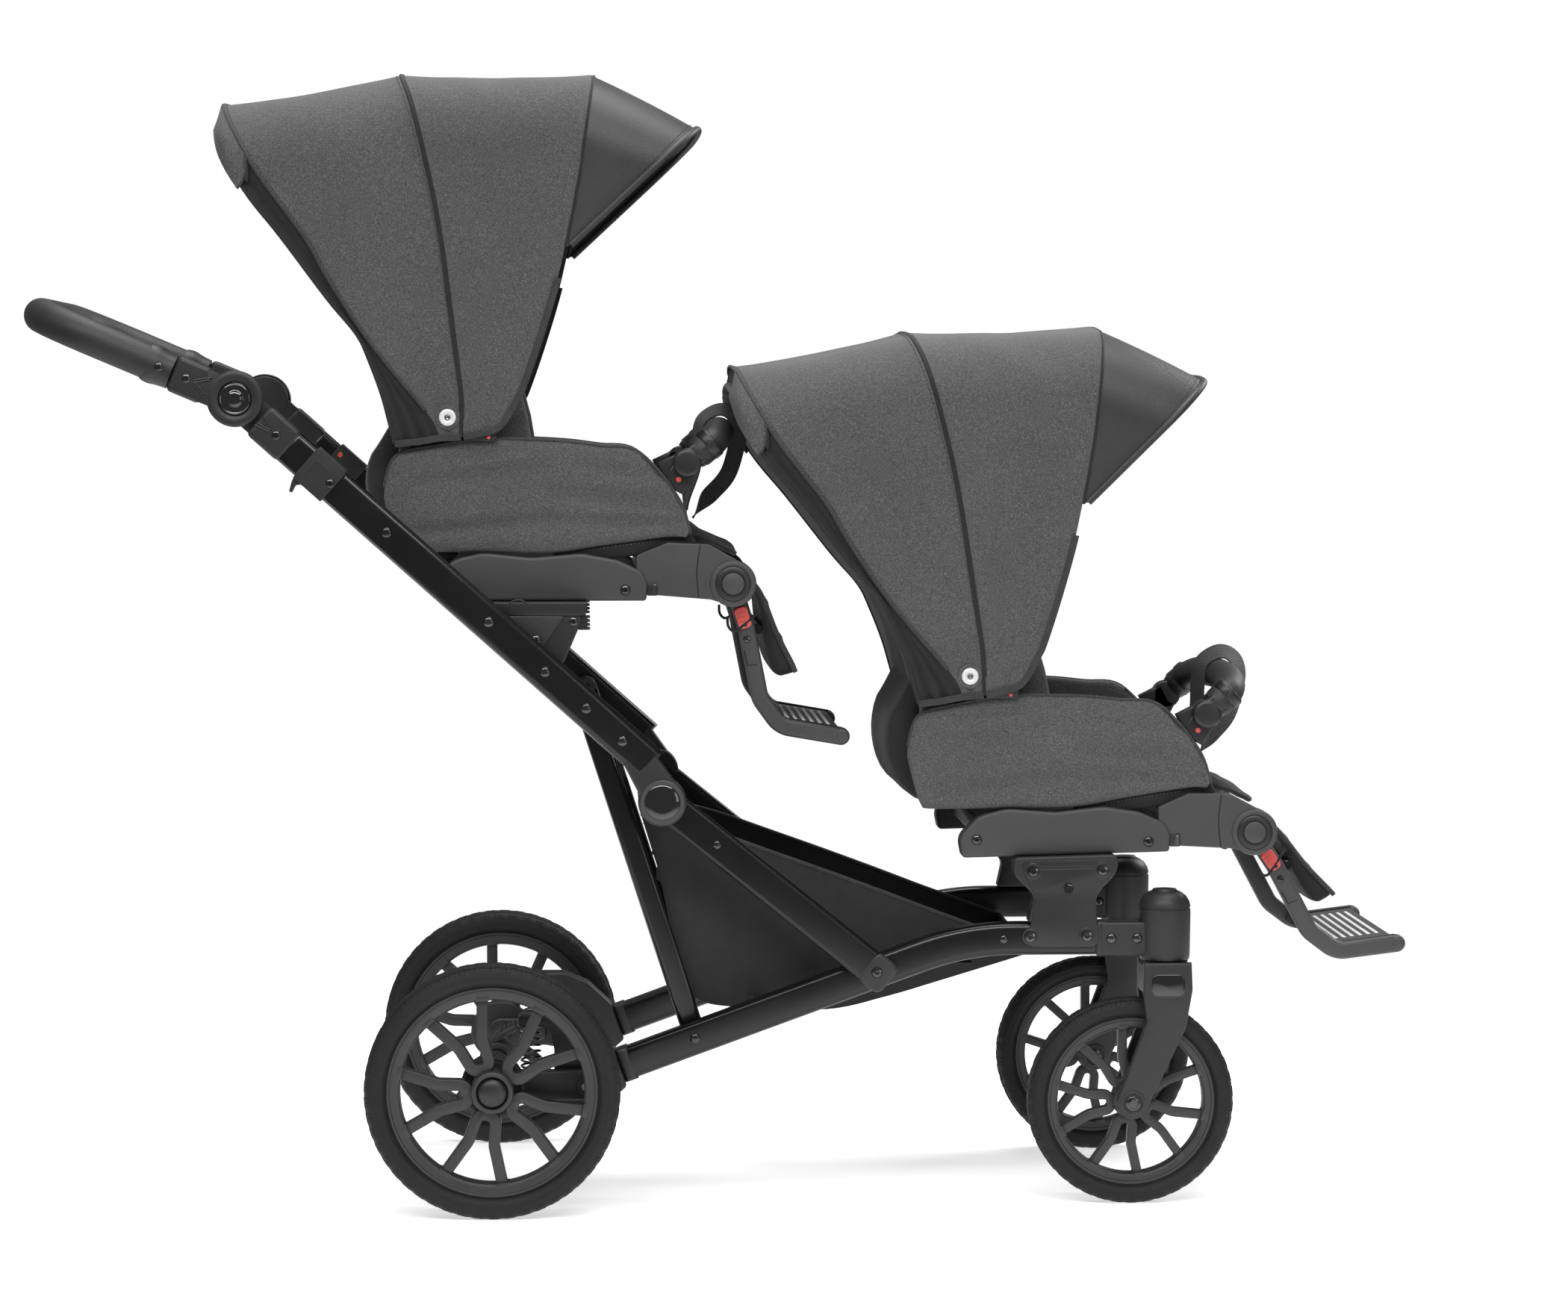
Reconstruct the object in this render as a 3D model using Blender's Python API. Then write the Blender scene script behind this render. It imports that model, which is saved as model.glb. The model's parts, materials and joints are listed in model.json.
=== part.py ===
"""Tandem double stroller: a folding frame on four wheels, with two seats of one kind.

The side view is drawn in X (forward) and Z (up), with X measured from the rear axle. Right is -Y.
At the end the whole stroller is moved along X, so that its box is centred on the origin.
"""
import math

import bmesh
import bpy
from mathutils import Matrix, Vector

# Clearances
GAP = 0.0003
RUNNING_GAP = 0.0005
CLOTH_GAP = 0.0015
SINK = 0.0004              # keeps faces of fused shapes out of one plane

# Widths: the seat's half width sets the frame around it
SHELL_HALF_WIDTH = 0.1980
SEAT_FRAME_OUTER = SHELL_HALF_WIDTH + 0.0020
LOWER_TUBE_Y = SEAT_FRAME_OUTER
LOWER_TUBE_WIDTH = 0.0280
LOWER_TUBE_OUTER = LOWER_TUBE_Y + LOWER_TUBE_WIDTH / 2
LOWER_TUBE_INNER = LOWER_TUBE_Y - LOWER_TUBE_WIDTH / 2

# Rear wheels
REAR_WHEEL_RADIUS = 0.1500
REAR_TYRE_WIDTH = 0.0450
REAR_TYRE_INNER_FACE = LOWER_TUBE_OUTER + 0.0405
REAR_TYRE_HEIGHT = 0.0255
REAR_RIM_RADIUS = REAR_WHEEL_RADIUS - REAR_TYRE_HEIGHT
REAR_RIM_DEPTH = 0.0168
REAR_RIM_WIDTH = 0.0320
REAR_HUB_RADIUS = 0.0250
RELEASE_RADIUS = 0.0165
RELEASE_HEIGHT = 0.0070
RELEASE_TRAVEL = 0.0030

# Front wheels and casters
FRONT_AXLE_X = 0.7587
FRONT_WHEEL_RADIUS = 0.1230
FRONT_WHEEL_Y = LOWER_TUBE_Y
FRONT_TYRE_WIDTH = 0.0400
FRONT_TYRE_HEIGHT = 0.0220
FRONT_RIM_RADIUS = FRONT_WHEEL_RADIUS - FRONT_TYRE_HEIGHT
FRONT_RIM_DEPTH = 0.0140
FRONT_RIM_WIDTH = 0.0280
FRONT_HUB_RADIUS = 0.0215
CASTER_TRAIL = 0.0410
CASTER_X = FRONT_AXLE_X + CASTER_TRAIL
STEM_RADIUS = 0.0080
STEM_LENGTH = 0.0450
HEADSET_RADIUS = 0.0310
HEADSET_BOTTOM = 0.2910
HEADSET_SEAM = 0.3530
HEADSET_TOP = 0.3760
HEADSET_BLOCK_DEPTH = 0.0390
HEADSET_BLOCK_WIDTH = 0.0330
FORK_LEG = 0.0130
FORK_BOSS_RADIUS = 0.0190
FRONT_AXLE_RADIUS = 0.0050

WHEEL_STEPS = 24

# Wheel spokes, drawn for a rim of REAR_RIM_RADIUS
SPOKE_PAIRS = 5
SPOKE_START_ANGLE = math.radians(42)
SPOKE_BEND_RADIUS = 0.0120
SPOKE_BEND_CENTRE = 0.0395
SPOKE_KINK = (0.0620, 0.0150)
SPOKE_FOOT_ANGLE = math.radians(18.3)
SPOKE_WIDTH = 0.0115
SPOKE_DEPTH = 0.0200

# Lower side tubes
LOWER_TUBE_REAR = (0.1500, 0.1679)
LOWER_TUBE_CORNER = (0.5618, 0.3176)
LOWER_TUBE_FRONT_X = 0.7210
LOWER_TUBE_BEND_RADIUS = 0.3400
LOWER_TUBE_DEPTH = 0.0395
TUBE_EDGE_RADIUS = 0.0080

# Sprung rear axle
AXLE_HEIGHT = REAR_WHEEL_RADIUS
AXLE_PIVOT_X = 0.1100
AXLE_TUBE_RADIUS = 0.0130
CROSS_TUBE_RADIUS = 0.0150
STUB_RADIUS = 0.0060
DRUM_RADIUS = 0.0380
ARM_WIDTH = 0.0230
ARM_DEPTH = 0.0350
HOUSING_WIDTH = 0.0400
HOUSING_Y = LOWER_TUBE_Y
SPRING_X = 0.0440
SPRING_Y = LOWER_TUBE_Y
SPRING_BOTTOM = 0.1644
SPRING_TOP = 0.2146
SPRING_RADIUS = 0.0109
SPRING_WIRE = 0.0016
SPRING_CURLS = 7
SPRING_POINTS = 8
PEDAL_WIDTH = 0.0600
PEDAL_TIP = (0.0240, 0.1900)

# Folding linkage: link pivot, hub, strut pivots
LINK_PIVOT = (0.4539, 0.2810)
HUB = (0.1999, 0.4852)
STRUT_FOOT = (0.2390, 0.2010)
STRUT_HEAD = (0.1107, 0.5963)
LINK_INNER = LOWER_TUBE_OUTER + 0.0023
LINK_THICK = 0.0140
LINK_DEPTH = 0.0400
UPPER_INNER = LINK_INNER + LINK_THICK + GAP
UPPER_THICK = 0.0194
UPPER_DEPTH = 0.0425
HUB_RADIUS = 0.0285
HUB_CAP = 0.0025
HUB_TUBE_RADIUS = 0.0110
STRUT_THICK = 0.0180
STRUT_INNER = LOWER_TUBE_INNER - 0.0030 - STRUT_THICK
STRUT_WIDTH = 0.0200
STRUT_EYE_RADIUS = 0.0130
PIVOT_BOSS_RADIUS = 0.0120

# Upper side tubes, handle and sliders
HANDLE_HUB = (-0.2974, 0.9591)
UPPER_TUBE_FOOT = (0.1880, 0.5270)
HANDLE_HUB_RADIUS = 0.0330
HANDLE_EYE_RADIUS = 0.0300
HANDLE_HUB_CLEAR = 0.0360
HANDLE_BUTTON_RADIUS = 0.0190
HANDLE_BUTTON_TRAVEL = 0.0030
HANDLE_REACH = 0.2540
HANDLE_ANGLE = math.radians(157.1)
HANDLE_SLEEVE_END = 0.1150
HANDLE_SLEEVE_DEPTH = 0.0440
HANDLE_GRIP_RADIUS = 0.0205
HANDLE_BEND_RADIUS = 0.0800
HANDLE_Y = UPPER_INNER + 0.0014
SLIDER_CENTRE = 0.1320
SLIDER_LENGTH = 0.0440
SLIDER_WALL = 0.0022
DOCK_THICK = 0.0180
DOCK_FLANGE_INNER = LOWER_TUBE_INNER
DOCK_TOP = 0.7203
FRONT_DOCK_TUBE_X = 0.6900
FRONT_DOCK_TUBE_Z = 0.3850
FRONT_PLATE_THICK = 0.0017

# Basket
BASKET_HALF_WIDTH = STRUT_INNER - 0.0070
BASKET_WALL = 0.0040

# Seats, drawn for the rear one
SEAT_FRAME_INNER = SEAT_FRAME_OUTER - 0.0320
SEAT_COVER_BOTTOM = DOCK_TOP + GAP
SEAT_COVER_TOP = 0.7776
SEAT_TUBE_RADIUS = 0.0090
FOOTREST_HUB = (0.2849, 0.7406)
FOOTREST_HUB_RADIUS = 0.0277
SHELL_WALL = 0.0260
CUSHION_TOP = 0.8200
BACKREST_PIVOT = (-0.0950, 0.7980)
BACKREST_HALF_WIDTH = SHELL_HALF_WIDTH - SHELL_WALL - 0.0040
HINGE_PIN_RADIUS = 0.0090
BACKREST_EDGE = 0.0100
SNAP = (-0.0517, 0.9373)
SNAP_TAB_RADIUS = 0.0210
HOOD_HALF_WIDTH = SHELL_HALF_WIDTH + 0.0050
HOOD_CLOTH = 0.0040
HOOD_CORNER = 0.0850
HOOD_CROWN = 0.0060
HOOD_STEPS = 4
BUMPER_PIVOT = (0.2310, 0.8840)
BUMPER_Y = SHELL_HALF_WIDTH - 0.0130
BUMPER_RADIUS = 0.0185
BUMPER_EYE_RADIUS = 0.0170
BUMPER_EYE_WIDTH = 0.0125
BUMPER_CENTRE = (0.2730, 0.9194)
BUMPER_STEPS = 10
BUMPER_START = math.radians(18)
BUMPER_FULLNESS = 0.5
FOOTREST_ARM_WIDTH = 0.0177
FOOTREST_ARM_INNER = SEAT_FRAME_INNER - GAP - FOOTREST_ARM_WIDTH
FOOTREST_EYE_RADIUS = 0.0230
FOOT_PLATE_THICK = 0.0140
CALF_HALF_WIDTH = FOOTREST_ARM_INNER - 0.0050
CALF_THICK = 0.0160
CALF_BAR_RADIUS = 0.0060
BUTTON_LENGTH = 0.0260
BUTTON_WIDTH = 0.0160
BUTTON_TRAVEL = 0.0030

# The front seat stands this far from the rear one and turned nose up about SEAT_DATUM
SEAT_DATUM = (0.0570, 0.7370)
FRONT_SEAT_SHIFT = (0.6230, -0.3040)
FRONT_SEAT_TILT = math.radians(1.5)
FRONT_FOOTREST_RAISE = math.radians(15.4)

SIDES = (("right", -1), ("left", 1))

FINISHES = {
    "satin_black": ((0.020, 0.020, 0.022), 0.35, 0.6),
    "matte_plastic": ((0.045, 0.045, 0.048), 0.6, 0.0),
    "rim_plastic": ((0.075, 0.075, 0.078), 0.55, 0.0),
    "rubber": ((0.020, 0.020, 0.020), 0.8, 0.0),
    "gloss_black": ((0.015, 0.015, 0.016), 0.12, 0.0),
    "spring_steel": ((0.30, 0.30, 0.31), 0.3, 1.0),
    "melange_cloth": ((0.085, 0.087, 0.092), 0.95, 0.0),
    "black_cloth": ((0.018, 0.018, 0.019), 0.95, 0.0),
    "leatherette": ((0.055, 0.055, 0.058), 0.55, 0.0),
    "coral": ((0.70, 0.13, 0.13), 0.5, 0.0),
}


def start_clean():
    for obj in list(bpy.data.objects):
        bpy.data.objects.remove(obj, do_unlink=True)


def finish_material(name):
    found = bpy.data.materials.get(name)
    if found:
        return found
    colour, roughness, metallic = FINISHES[name]
    made = bpy.data.materials.new(name)
    made.use_nodes = True
    shader = made.node_tree.nodes["Principled BSDF"]
    shader.inputs["Base Color"].default_value = (*colour, 1.0)
    shader.inputs["Roughness"].default_value = roughness
    shader.inputs["Metallic"].default_value = metallic
    return made


def to_object(bm, name="piece"):
    bmesh.ops.recalc_face_normals(bm, faces=bm.faces)
    mesh = bpy.data.meshes.new(name)
    bm.to_mesh(mesh)
    bm.free()
    obj = bpy.data.objects.new(name, mesh)
    bpy.context.scene.collection.objects.link(obj)
    return obj


# Points in the side view, as (x, z) pairs

def arc(centre, radius, start, end, count):
    """Points on an arc, from start to end in radians, both ends included."""
    steps = [start + (end - start) * i / count for i in range(count + 1)]
    return [(centre[0] + radius * math.cos(a), centre[1] + radius * math.sin(a)) for a in steps]


def along(origin, direction, forward, sideways=0.0):
    """A point reached by going forward and to the left of a direction."""
    c, s = math.cos(direction), math.sin(direction)
    return (origin[0] + c * forward - s * sideways, origin[1] + s * forward + c * sideways)


def heading(a, b):
    return math.atan2(b[1] - a[1], b[0] - a[0])


def span(a, b):
    return math.hypot(b[0] - a[0], b[1] - a[1])


def between(a, b, t):
    return (a[0] + (b[0] - a[0]) * t, a[1] + (b[1] - a[1]) * t)


def ribbon(path, width):
    """The outline of a strip of even width around an open path, with mitred corners."""
    left, right = [], []
    for i, point in enumerate(path):
        before = heading(path[max(i - 1, 0)], path[max(i, 1)])
        after = heading(path[min(i, len(path) - 2)], path[min(i + 1, len(path) - 1)])
        turn = (after - before + math.pi) % (2 * math.pi) - math.pi
        middle = before + turn / 2
        reach = width / 2 / math.cos(turn / 2)
        left.append(along(point, middle, 0, reach))
        right.append(along(point, middle, 0, -reach))
    return left + right[::-1]


def rounded_corner(a, corner, b, radius, count):
    """Points of the arc that rounds a corner between two straight runs."""
    into, out = heading(a, corner), heading(corner, b)
    turn = (out - into + math.pi) % (2 * math.pi) - math.pi
    back = radius * math.tan(abs(turn) / 2)
    side = math.copysign(1, turn)
    centre = along(along(corner, into, -back), into, 0, side * radius)
    first = into - side * math.pi / 2
    return arc(centre, radius, first, first + turn, count)


def inset(outline, amount):
    """A closed outline moved inwards; the outline runs counter-clockwise."""
    moved = []
    count = len(outline)
    for i, point in enumerate(outline):
        before = heading(outline[i - 1], point)
        after = heading(point, outline[(i + 1) % count])
        turn = (after - before + math.pi) % (2 * math.pi) - math.pi
        moved.append(along(point, before + turn / 2, 0, amount / math.cos(turn / 2)))
    return moved


# Solids

def plate(outline, y_a, y_b, round_edges=0.0, segments=2):
    """A side-view outline pushed from y_a to y_b, with its rims rounded."""
    bm = bmesh.new()
    face = bm.faces.new([bm.verts.new((x, y_a, z)) for x, z in outline])
    pushed = bmesh.ops.extrude_face_region(bm, geom=[face])["geom"]
    far = [item for item in pushed if isinstance(item, bmesh.types.BMVert)]
    bmesh.ops.translate(bm, verts=far, vec=(0, y_b - y_a, 0))
    if round_edges:
        rims = [e for e in bm.edges if abs(e.verts[0].co.y - e.verts[1].co.y) < 1e-6]
        bmesh.ops.bevel(bm, geom=rims, offset=round_edges, segments=segments, profile=0.5,
                        affect="EDGES", clamp_overlap=True)
    return to_object(bm)


def turned(origin, profile, axis="Y", steps=24, closed=False, phase=0.0):
    """A profile of (radius, height) points turned about a line through origin along Y or Z."""
    bm = bmesh.new()
    direction = Vector((0, 1, 0)) if axis == "Y" else Vector((0, 0, 1))
    arm = Matrix.Rotation(phase, 3, direction) @ Vector((1, 0, 0))
    verts = [bm.verts.new(Vector(origin) + arm * r + direction * h) for r, h in profile]
    pairs = list(zip(verts, verts[1:]))
    if closed:
        pairs.append((verts[-1], verts[0]))
    edges = [bm.edges.new(pair) for pair in pairs]
    bmesh.ops.spin(bm, geom=verts + edges, cent=origin, axis=direction, angle=2 * math.pi,
                   steps=steps, use_merge=True)
    bmesh.ops.remove_doubles(bm, verts=bm.verts, dist=1e-6)
    return to_object(bm)


def rod(centre, radius, y_a, y_b, steps=20):
    """A round bar along Y through a side-view point."""
    low, high = min(y_a, y_b), max(y_a, y_b)
    return turned((centre[0], 0, centre[1]), [(0, low), (radius, low), (radius, high), (0, high)],
                  steps=steps)


def box(x_a, x_b, y_a, y_b, z_a, z_b):
    return plate([(x_a, z_a), (x_b, z_a), (x_b, z_b), (x_a, z_b)], y_a, y_b)


def tube(points, radius, resolution=2):
    """A round tube along a path of 3-D points, closed at both ends."""
    curve = bpy.data.curves.new("path", "CURVE")
    curve.dimensions = "3D"
    curve.bevel_depth = radius
    curve.bevel_resolution = resolution
    curve.use_fill_caps = True
    spline = curve.splines.new("POLY")
    spline.points.add(len(points) - 1)
    for knot, point in zip(spline.points, points):
        knot.co = (*point, 1)
    guide = bpy.data.objects.new("path", curve)
    bpy.context.scene.collection.objects.link(guide)
    seen = guide.evaluated_get(bpy.context.evaluated_depsgraph_get())
    bm = bmesh.new()
    bm.from_mesh(seen.to_mesh())
    bpy.data.objects.remove(guide, do_unlink=True)
    bmesh.ops.remove_doubles(bm, verts=bm.verts, dist=1e-6)
    return to_object(bm)


def combine(base, tool, operation):
    step = base.modifiers.new(operation.lower(), "BOOLEAN")
    step.operation = operation
    step.solver = "EXACT"
    step.object = tool
    seen = base.evaluated_get(bpy.context.evaluated_depsgraph_get())
    mesh = bpy.data.meshes.new_from_object(seen)
    base.modifiers.clear()
    base.data = mesh
    bpy.data.objects.remove(tool, do_unlink=True)


def assemble(name, finish, pieces, cuts=(), pivot=(0, 0, 0), smooth=35):
    """Joins pieces, makes the cuts, and puts the object's origin on its pivot."""
    base = pieces[0]
    for piece in pieces[1:]:
        combine(base, piece, "UNION")
    for cutter in cuts:
        combine(base, cutter, "DIFFERENCE")
    bm = bmesh.new()
    bm.from_mesh(base.data)
    bmesh.ops.remove_doubles(bm, verts=bm.verts, dist=2e-6)
    bmesh.ops.dissolve_degenerate(bm, edges=bm.edges, dist=1e-6)
    bmesh.ops.recalc_face_normals(bm, faces=bm.faces)
    bmesh.ops.translate(bm, verts=bm.verts, vec=-Vector(pivot))
    mesh = bpy.data.meshes.new(name)
    bm.to_mesh(mesh)
    bm.free()
    mesh.materials.append(finish_material(finish))
    mesh.shade_smooth()
    mesh.set_sharp_from_angle(angle=math.radians(smooth))
    base.data = mesh
    base.name = name
    base.location = pivot
    return base


def at(point, y=0.0):
    """A side-view point as a 3-D one."""
    return (point[0], y, point[1])


def guide_empty(name, location=(0, 0, 0), parent=None):
    made = bpy.data.objects.new(name, None)
    bpy.context.scene.collection.objects.link(made)
    made.location = location
    made.parent = parent
    return made


def hang(children, parent):
    """Parents objects, whose places so far are in the parent's own space."""
    for child in children:
        child.parent = parent


# Wheels

def hairpin(scale):
    """The centreline of one pair of spokes, pointing along +X from the wheel's centre."""
    foot_radius = (REAR_RIM_RADIUS - REAR_RIM_DEPTH / 2) * scale
    foot = (foot_radius * math.cos(SPOKE_FOOT_ANGLE), foot_radius * math.sin(SPOKE_FOOT_ANGLE))
    kink = (SPOKE_KINK[0] * scale, SPOKE_KINK[1] * scale)
    bend = arc((SPOKE_BEND_CENTRE * scale, 0), SPOKE_BEND_RADIUS * scale, math.pi / 2, 3 * math.pi / 2, 2)
    return [foot, kink, *bend, (kink[0], -kink[1]), (foot[0], -foot[1])]


def wheel(name, x, z, y_mid, rim_radius, rim_depth, rim_width, hub_radius, hub_ends, cuts, pivot):
    scale = rim_radius / REAR_RIM_RADIUS
    half = rim_width / 2
    inner = rim_radius - rim_depth
    section = [(inner, -half * 0.7), (rim_radius, -half), (rim_radius, half), (inner, half * 0.7)]
    rim = turned((x, y_mid, z), section, steps=WHEEL_STEPS, closed=True)
    pieces = [rim, rod((x, z), hub_radius, *hub_ends, steps=20)]
    for k in range(SPOKE_PAIRS):
        turn = SPOKE_START_ANGLE + 2 * math.pi * k / SPOKE_PAIRS
        path = [along((x, z), turn, *point) for point in hairpin(scale)]
        depth = SPOKE_DEPTH * scale / 2
        pieces.append(plate(ribbon(path, SPOKE_WIDTH * scale), y_mid - depth, y_mid + depth))
    return assemble(name, "rim_plastic", pieces, cuts, pivot=pivot)


def tyre(name, x, radius, y_mid, width, rim_radius, steps=WHEEL_STEPS):
    """A tyre whose lowest facet lies flat on the ground."""
    inner = rim_radius + GAP
    crown = radius / math.cos(math.pi / steps)
    half = width / 2
    right = [(inner / math.cos(math.pi / steps), half * 0.9), (crown - 0.008, half), (crown, half * 0.4)]
    section = [(r, -y) for r, y in right] + right[::-1]
    ring = turned((x, y_mid, radius), section, steps=steps, closed=True, phase=math.pi / steps)
    return assemble(name, "rubber", [ring], pivot=(x, y_mid, radius), smooth=50)


def rear_wheels():
    made = []
    outer = REAR_TYRE_INNER_FACE + REAR_TYRE_WIDTH
    y_mid = REAR_TYRE_INNER_FACE + REAR_TYRE_WIDTH / 2
    recess = outer - RELEASE_HEIGHT
    hub_face = outer - 0.0010
    for side, s in SIDES:
        pivot = (0, s * y_mid, AXLE_HEIGHT)
        bore = rod((0, AXLE_HEIGHT), STUB_RADIUS + RUNNING_GAP, s * (REAR_TYRE_INNER_FACE - 0.01),
                   s * (recess - 0.006))
        seat = rod((0, AXLE_HEIGHT), RELEASE_RADIUS + RUNNING_GAP, s * recess, s * (outer + 0.01), steps=24)
        made.append(wheel(f"rear_wheel_{side}", 0, AXLE_HEIGHT, s * y_mid, REAR_RIM_RADIUS, REAR_RIM_DEPTH,
                          REAR_RIM_WIDTH, REAR_HUB_RADIUS, (s * (REAR_TYRE_INNER_FACE - GAP), s * hub_face),
                          [bore, seat], pivot))
        made.append(tyre(f"rear_tyre_{side}", 0, REAR_WHEEL_RADIUS, s * y_mid, REAR_TYRE_WIDTH,
                         REAR_RIM_RADIUS))
        low = recess + RELEASE_TRAVEL + GAP
        dome = [(0, low), (RELEASE_RADIUS, low), (RELEASE_RADIUS, outer), (RELEASE_RADIUS * 0.8, outer + 0.0025),
                (RELEASE_RADIUS * 0.45, outer + 0.004), (0, outer + 0.0045)]
        button = turned((0, 0, AXLE_HEIGHT), [(r, s * y) for r, y in dome], steps=16)
        made.append(assemble(f"wheel_release_{side}", "gloss_black", [button],
                             pivot=(0, s * outer, AXLE_HEIGHT)))
    return made


def front_wheels():
    made = []
    hub_half = FRONT_TYRE_WIDTH / 2 + 0.0020
    for side, s in SIDES:
        y_mid = s * FRONT_WHEEL_Y
        pivot = (FRONT_AXLE_X, y_mid, FRONT_WHEEL_RADIUS)
        centre = (FRONT_AXLE_X, FRONT_WHEEL_RADIUS)
        bore = rod(centre, FRONT_AXLE_RADIUS + RUNNING_GAP, y_mid - 0.04, y_mid + 0.04)
        made.append(wheel(f"front_wheel_{side}", *centre, y_mid, FRONT_RIM_RADIUS, FRONT_RIM_DEPTH,
                          FRONT_RIM_WIDTH, FRONT_HUB_RADIUS, (y_mid - hub_half, y_mid + hub_half), [bore], pivot))
        made.append(tyre(f"front_tyre_{side}", FRONT_AXLE_X, FRONT_WHEEL_RADIUS, y_mid, FRONT_TYRE_WIDTH,
                         FRONT_RIM_RADIUS))
    return made


def casters():
    """Forks with a leg on each side of the wheel, and the housings that their stems turn in."""
    made = []
    leg_inner = FRONT_TYRE_WIDTH / 2 + 0.0020 + RUNNING_GAP
    leg_outer = leg_inner + FORK_LEG
    axle = (FRONT_AXLE_X, FRONT_WHEEL_RADIUS)
    crown_low = 2 * FRONT_WHEEL_RADIUS + 0.005
    crown_top = HEADSET_BOTTOM - RUNNING_GAP
    shoulder = [(CASTER_X - 0.0285, crown_top), (CASTER_X - 0.0290, crown_low),
                (CASTER_X - 0.0250, 0.2200)]
    nose = [(CASTER_X + 0.0220, 0.2120), (CASTER_X + 0.0300, 0.2580), (CASTER_X + 0.0285, crown_top)]
    around = arc(axle, FORK_BOSS_RADIUS, math.radians(155), math.radians(345), 7)
    leg = shoulder + around + nose
    crown = [(CASTER_X - 0.0287, crown_low), (CASTER_X + 0.0295, crown_low), (CASTER_X + 0.0285, crown_top),
             (CASTER_X - 0.0285, crown_top)]
    for side, s in SIDES:
        y = s * FRONT_WHEEL_Y
        pieces = [plate(crown, y - leg_outer + 0.0005, y + leg_outer - 0.0005)]
        for out in (-1, 1):
            pieces.append(plate(leg, y + out * leg_inner, y + out * leg_outer))
        pieces.append(rod(axle, FRONT_AXLE_RADIUS, y - leg_inner - 0.002, y + leg_inner + 0.002, steps=16))
        stem = [(0, crown_top - 0.01), (STEM_RADIUS, crown_top - 0.01),
                (STEM_RADIUS, HEADSET_BOTTOM + STEM_LENGTH), (0, HEADSET_BOTTOM + STEM_LENGTH)]
        pieces.append(turned((CASTER_X, y, 0), stem, axis="Z", steps=12))
        made.append(assemble(f"front_fork_{side}", "matte_plastic", pieces, pivot=(CASTER_X, y, crown_top)))

        rise = HEADSET_TOP - HEADSET_SEAM
        shape = [(0, HEADSET_BOTTOM), (HEADSET_RADIUS, HEADSET_BOTTOM), (HEADSET_RADIUS, HEADSET_SEAM)]
        dome = [(HEADSET_RADIUS * math.cos(a), HEADSET_SEAM + rise * math.sin(a))
                for a in (math.radians(30), math.radians(60))]
        shell = turned((CASTER_X, y, 0), [*shape, *dome, (0, HEADSET_TOP)], axis="Z", steps=20)
        z = LOWER_TUBE_CORNER[1]
        half = HEADSET_BLOCK_DEPTH / 2
        block = plate([(LOWER_TUBE_FRONT_X + GAP, z - half), (CASTER_X, z - half), (CASTER_X, z + half),
                       (LOWER_TUBE_FRONT_X + GAP, z + half)],
                      y - HEADSET_BLOCK_WIDTH / 2, y + HEADSET_BLOCK_WIDTH / 2)
        top = HEADSET_BOTTOM + STEM_LENGTH + GAP
        hole = turned((CASTER_X, y, 0), [(0, HEADSET_BOTTOM - 0.01), (STEM_RADIUS + RUNNING_GAP, HEADSET_BOTTOM - 0.01),
                                         (STEM_RADIUS + RUNNING_GAP, top), (0, top)], axis="Z", steps=12)
        made.append(assemble(f"headset_{side}", "matte_plastic", [shell, block], [hole]))
    return made


# Chassis

def lower_tube_path():
    front = (LOWER_TUBE_FRONT_X, LOWER_TUBE_CORNER[1])
    bend = rounded_corner(LOWER_TUBE_REAR, LOWER_TUBE_CORNER, front, LOWER_TUBE_BEND_RADIUS, 6)
    return [LOWER_TUBE_REAR, *bend, front]


def lower_tubes():
    made = []
    inner, outer = LOWER_TUBE_INNER, LOWER_TUBE_OUTER
    strut_outer = STRUT_INNER + STRUT_THICK
    for side, s in SIDES:
        body = plate(ribbon(lower_tube_path(), LOWER_TUBE_DEPTH), s * inner, s * outer, TUBE_EDGE_RADIUS, 1)
        link_boss = rod(LINK_PIVOT, PIVOT_BOSS_RADIUS, s * (outer - 0.004), s * (LINK_INNER - GAP))
        strut_boss = rod(STRUT_FOOT, PIVOT_BOSS_RADIUS, s * (inner + 0.004), s * (strut_outer + GAP))
        made.append(assemble(f"lower_tube_{side}", "satin_black", [body, link_boss, strut_boss]))
    return made


def rear_cross_member():
    """The cross tube that the sprung axle swings on, with a housing at the end of each lower tube."""
    slope = heading(LOWER_TUBE_REAR, LOWER_TUBE_CORNER)
    top = along(LOWER_TUBE_REAR, slope, -GAP, 0.0240)
    low = along(LOWER_TUBE_REAR, slope, -GAP, -0.0240)
    spring_top = SPRING_TOP + SPRING_WIRE + GAP
    clear = SPRING_X + SPRING_RADIUS + 0.0110
    outline = [low, top, (0.1120, 0.2180), (0.0820, spring_top + 0.014), (SPRING_X - 0.0150, spring_top + 0.014),
               (SPRING_X - 0.0150, spring_top), (clear, spring_top), (clear + 0.006, 0.1900),
               (clear + 0.006, 0.1500), (0.0820, 0.1180), (0.1250, 0.1150)]
    inner = HOUSING_Y - HOUSING_WIDTH / 2
    outer = HOUSING_Y + HOUSING_WIDTH / 2
    pieces = [rod((AXLE_PIVOT_X, AXLE_HEIGHT), CROSS_TUBE_RADIUS, -inner - 0.002, inner + 0.002, steps=24)]
    for side, s in SIDES:
        pieces.append(plate(outline[::-1], s * inner, s * outer, 0.003, 1))
    return [assemble("rear_cross_member", "matte_plastic", pieces)]


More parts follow.
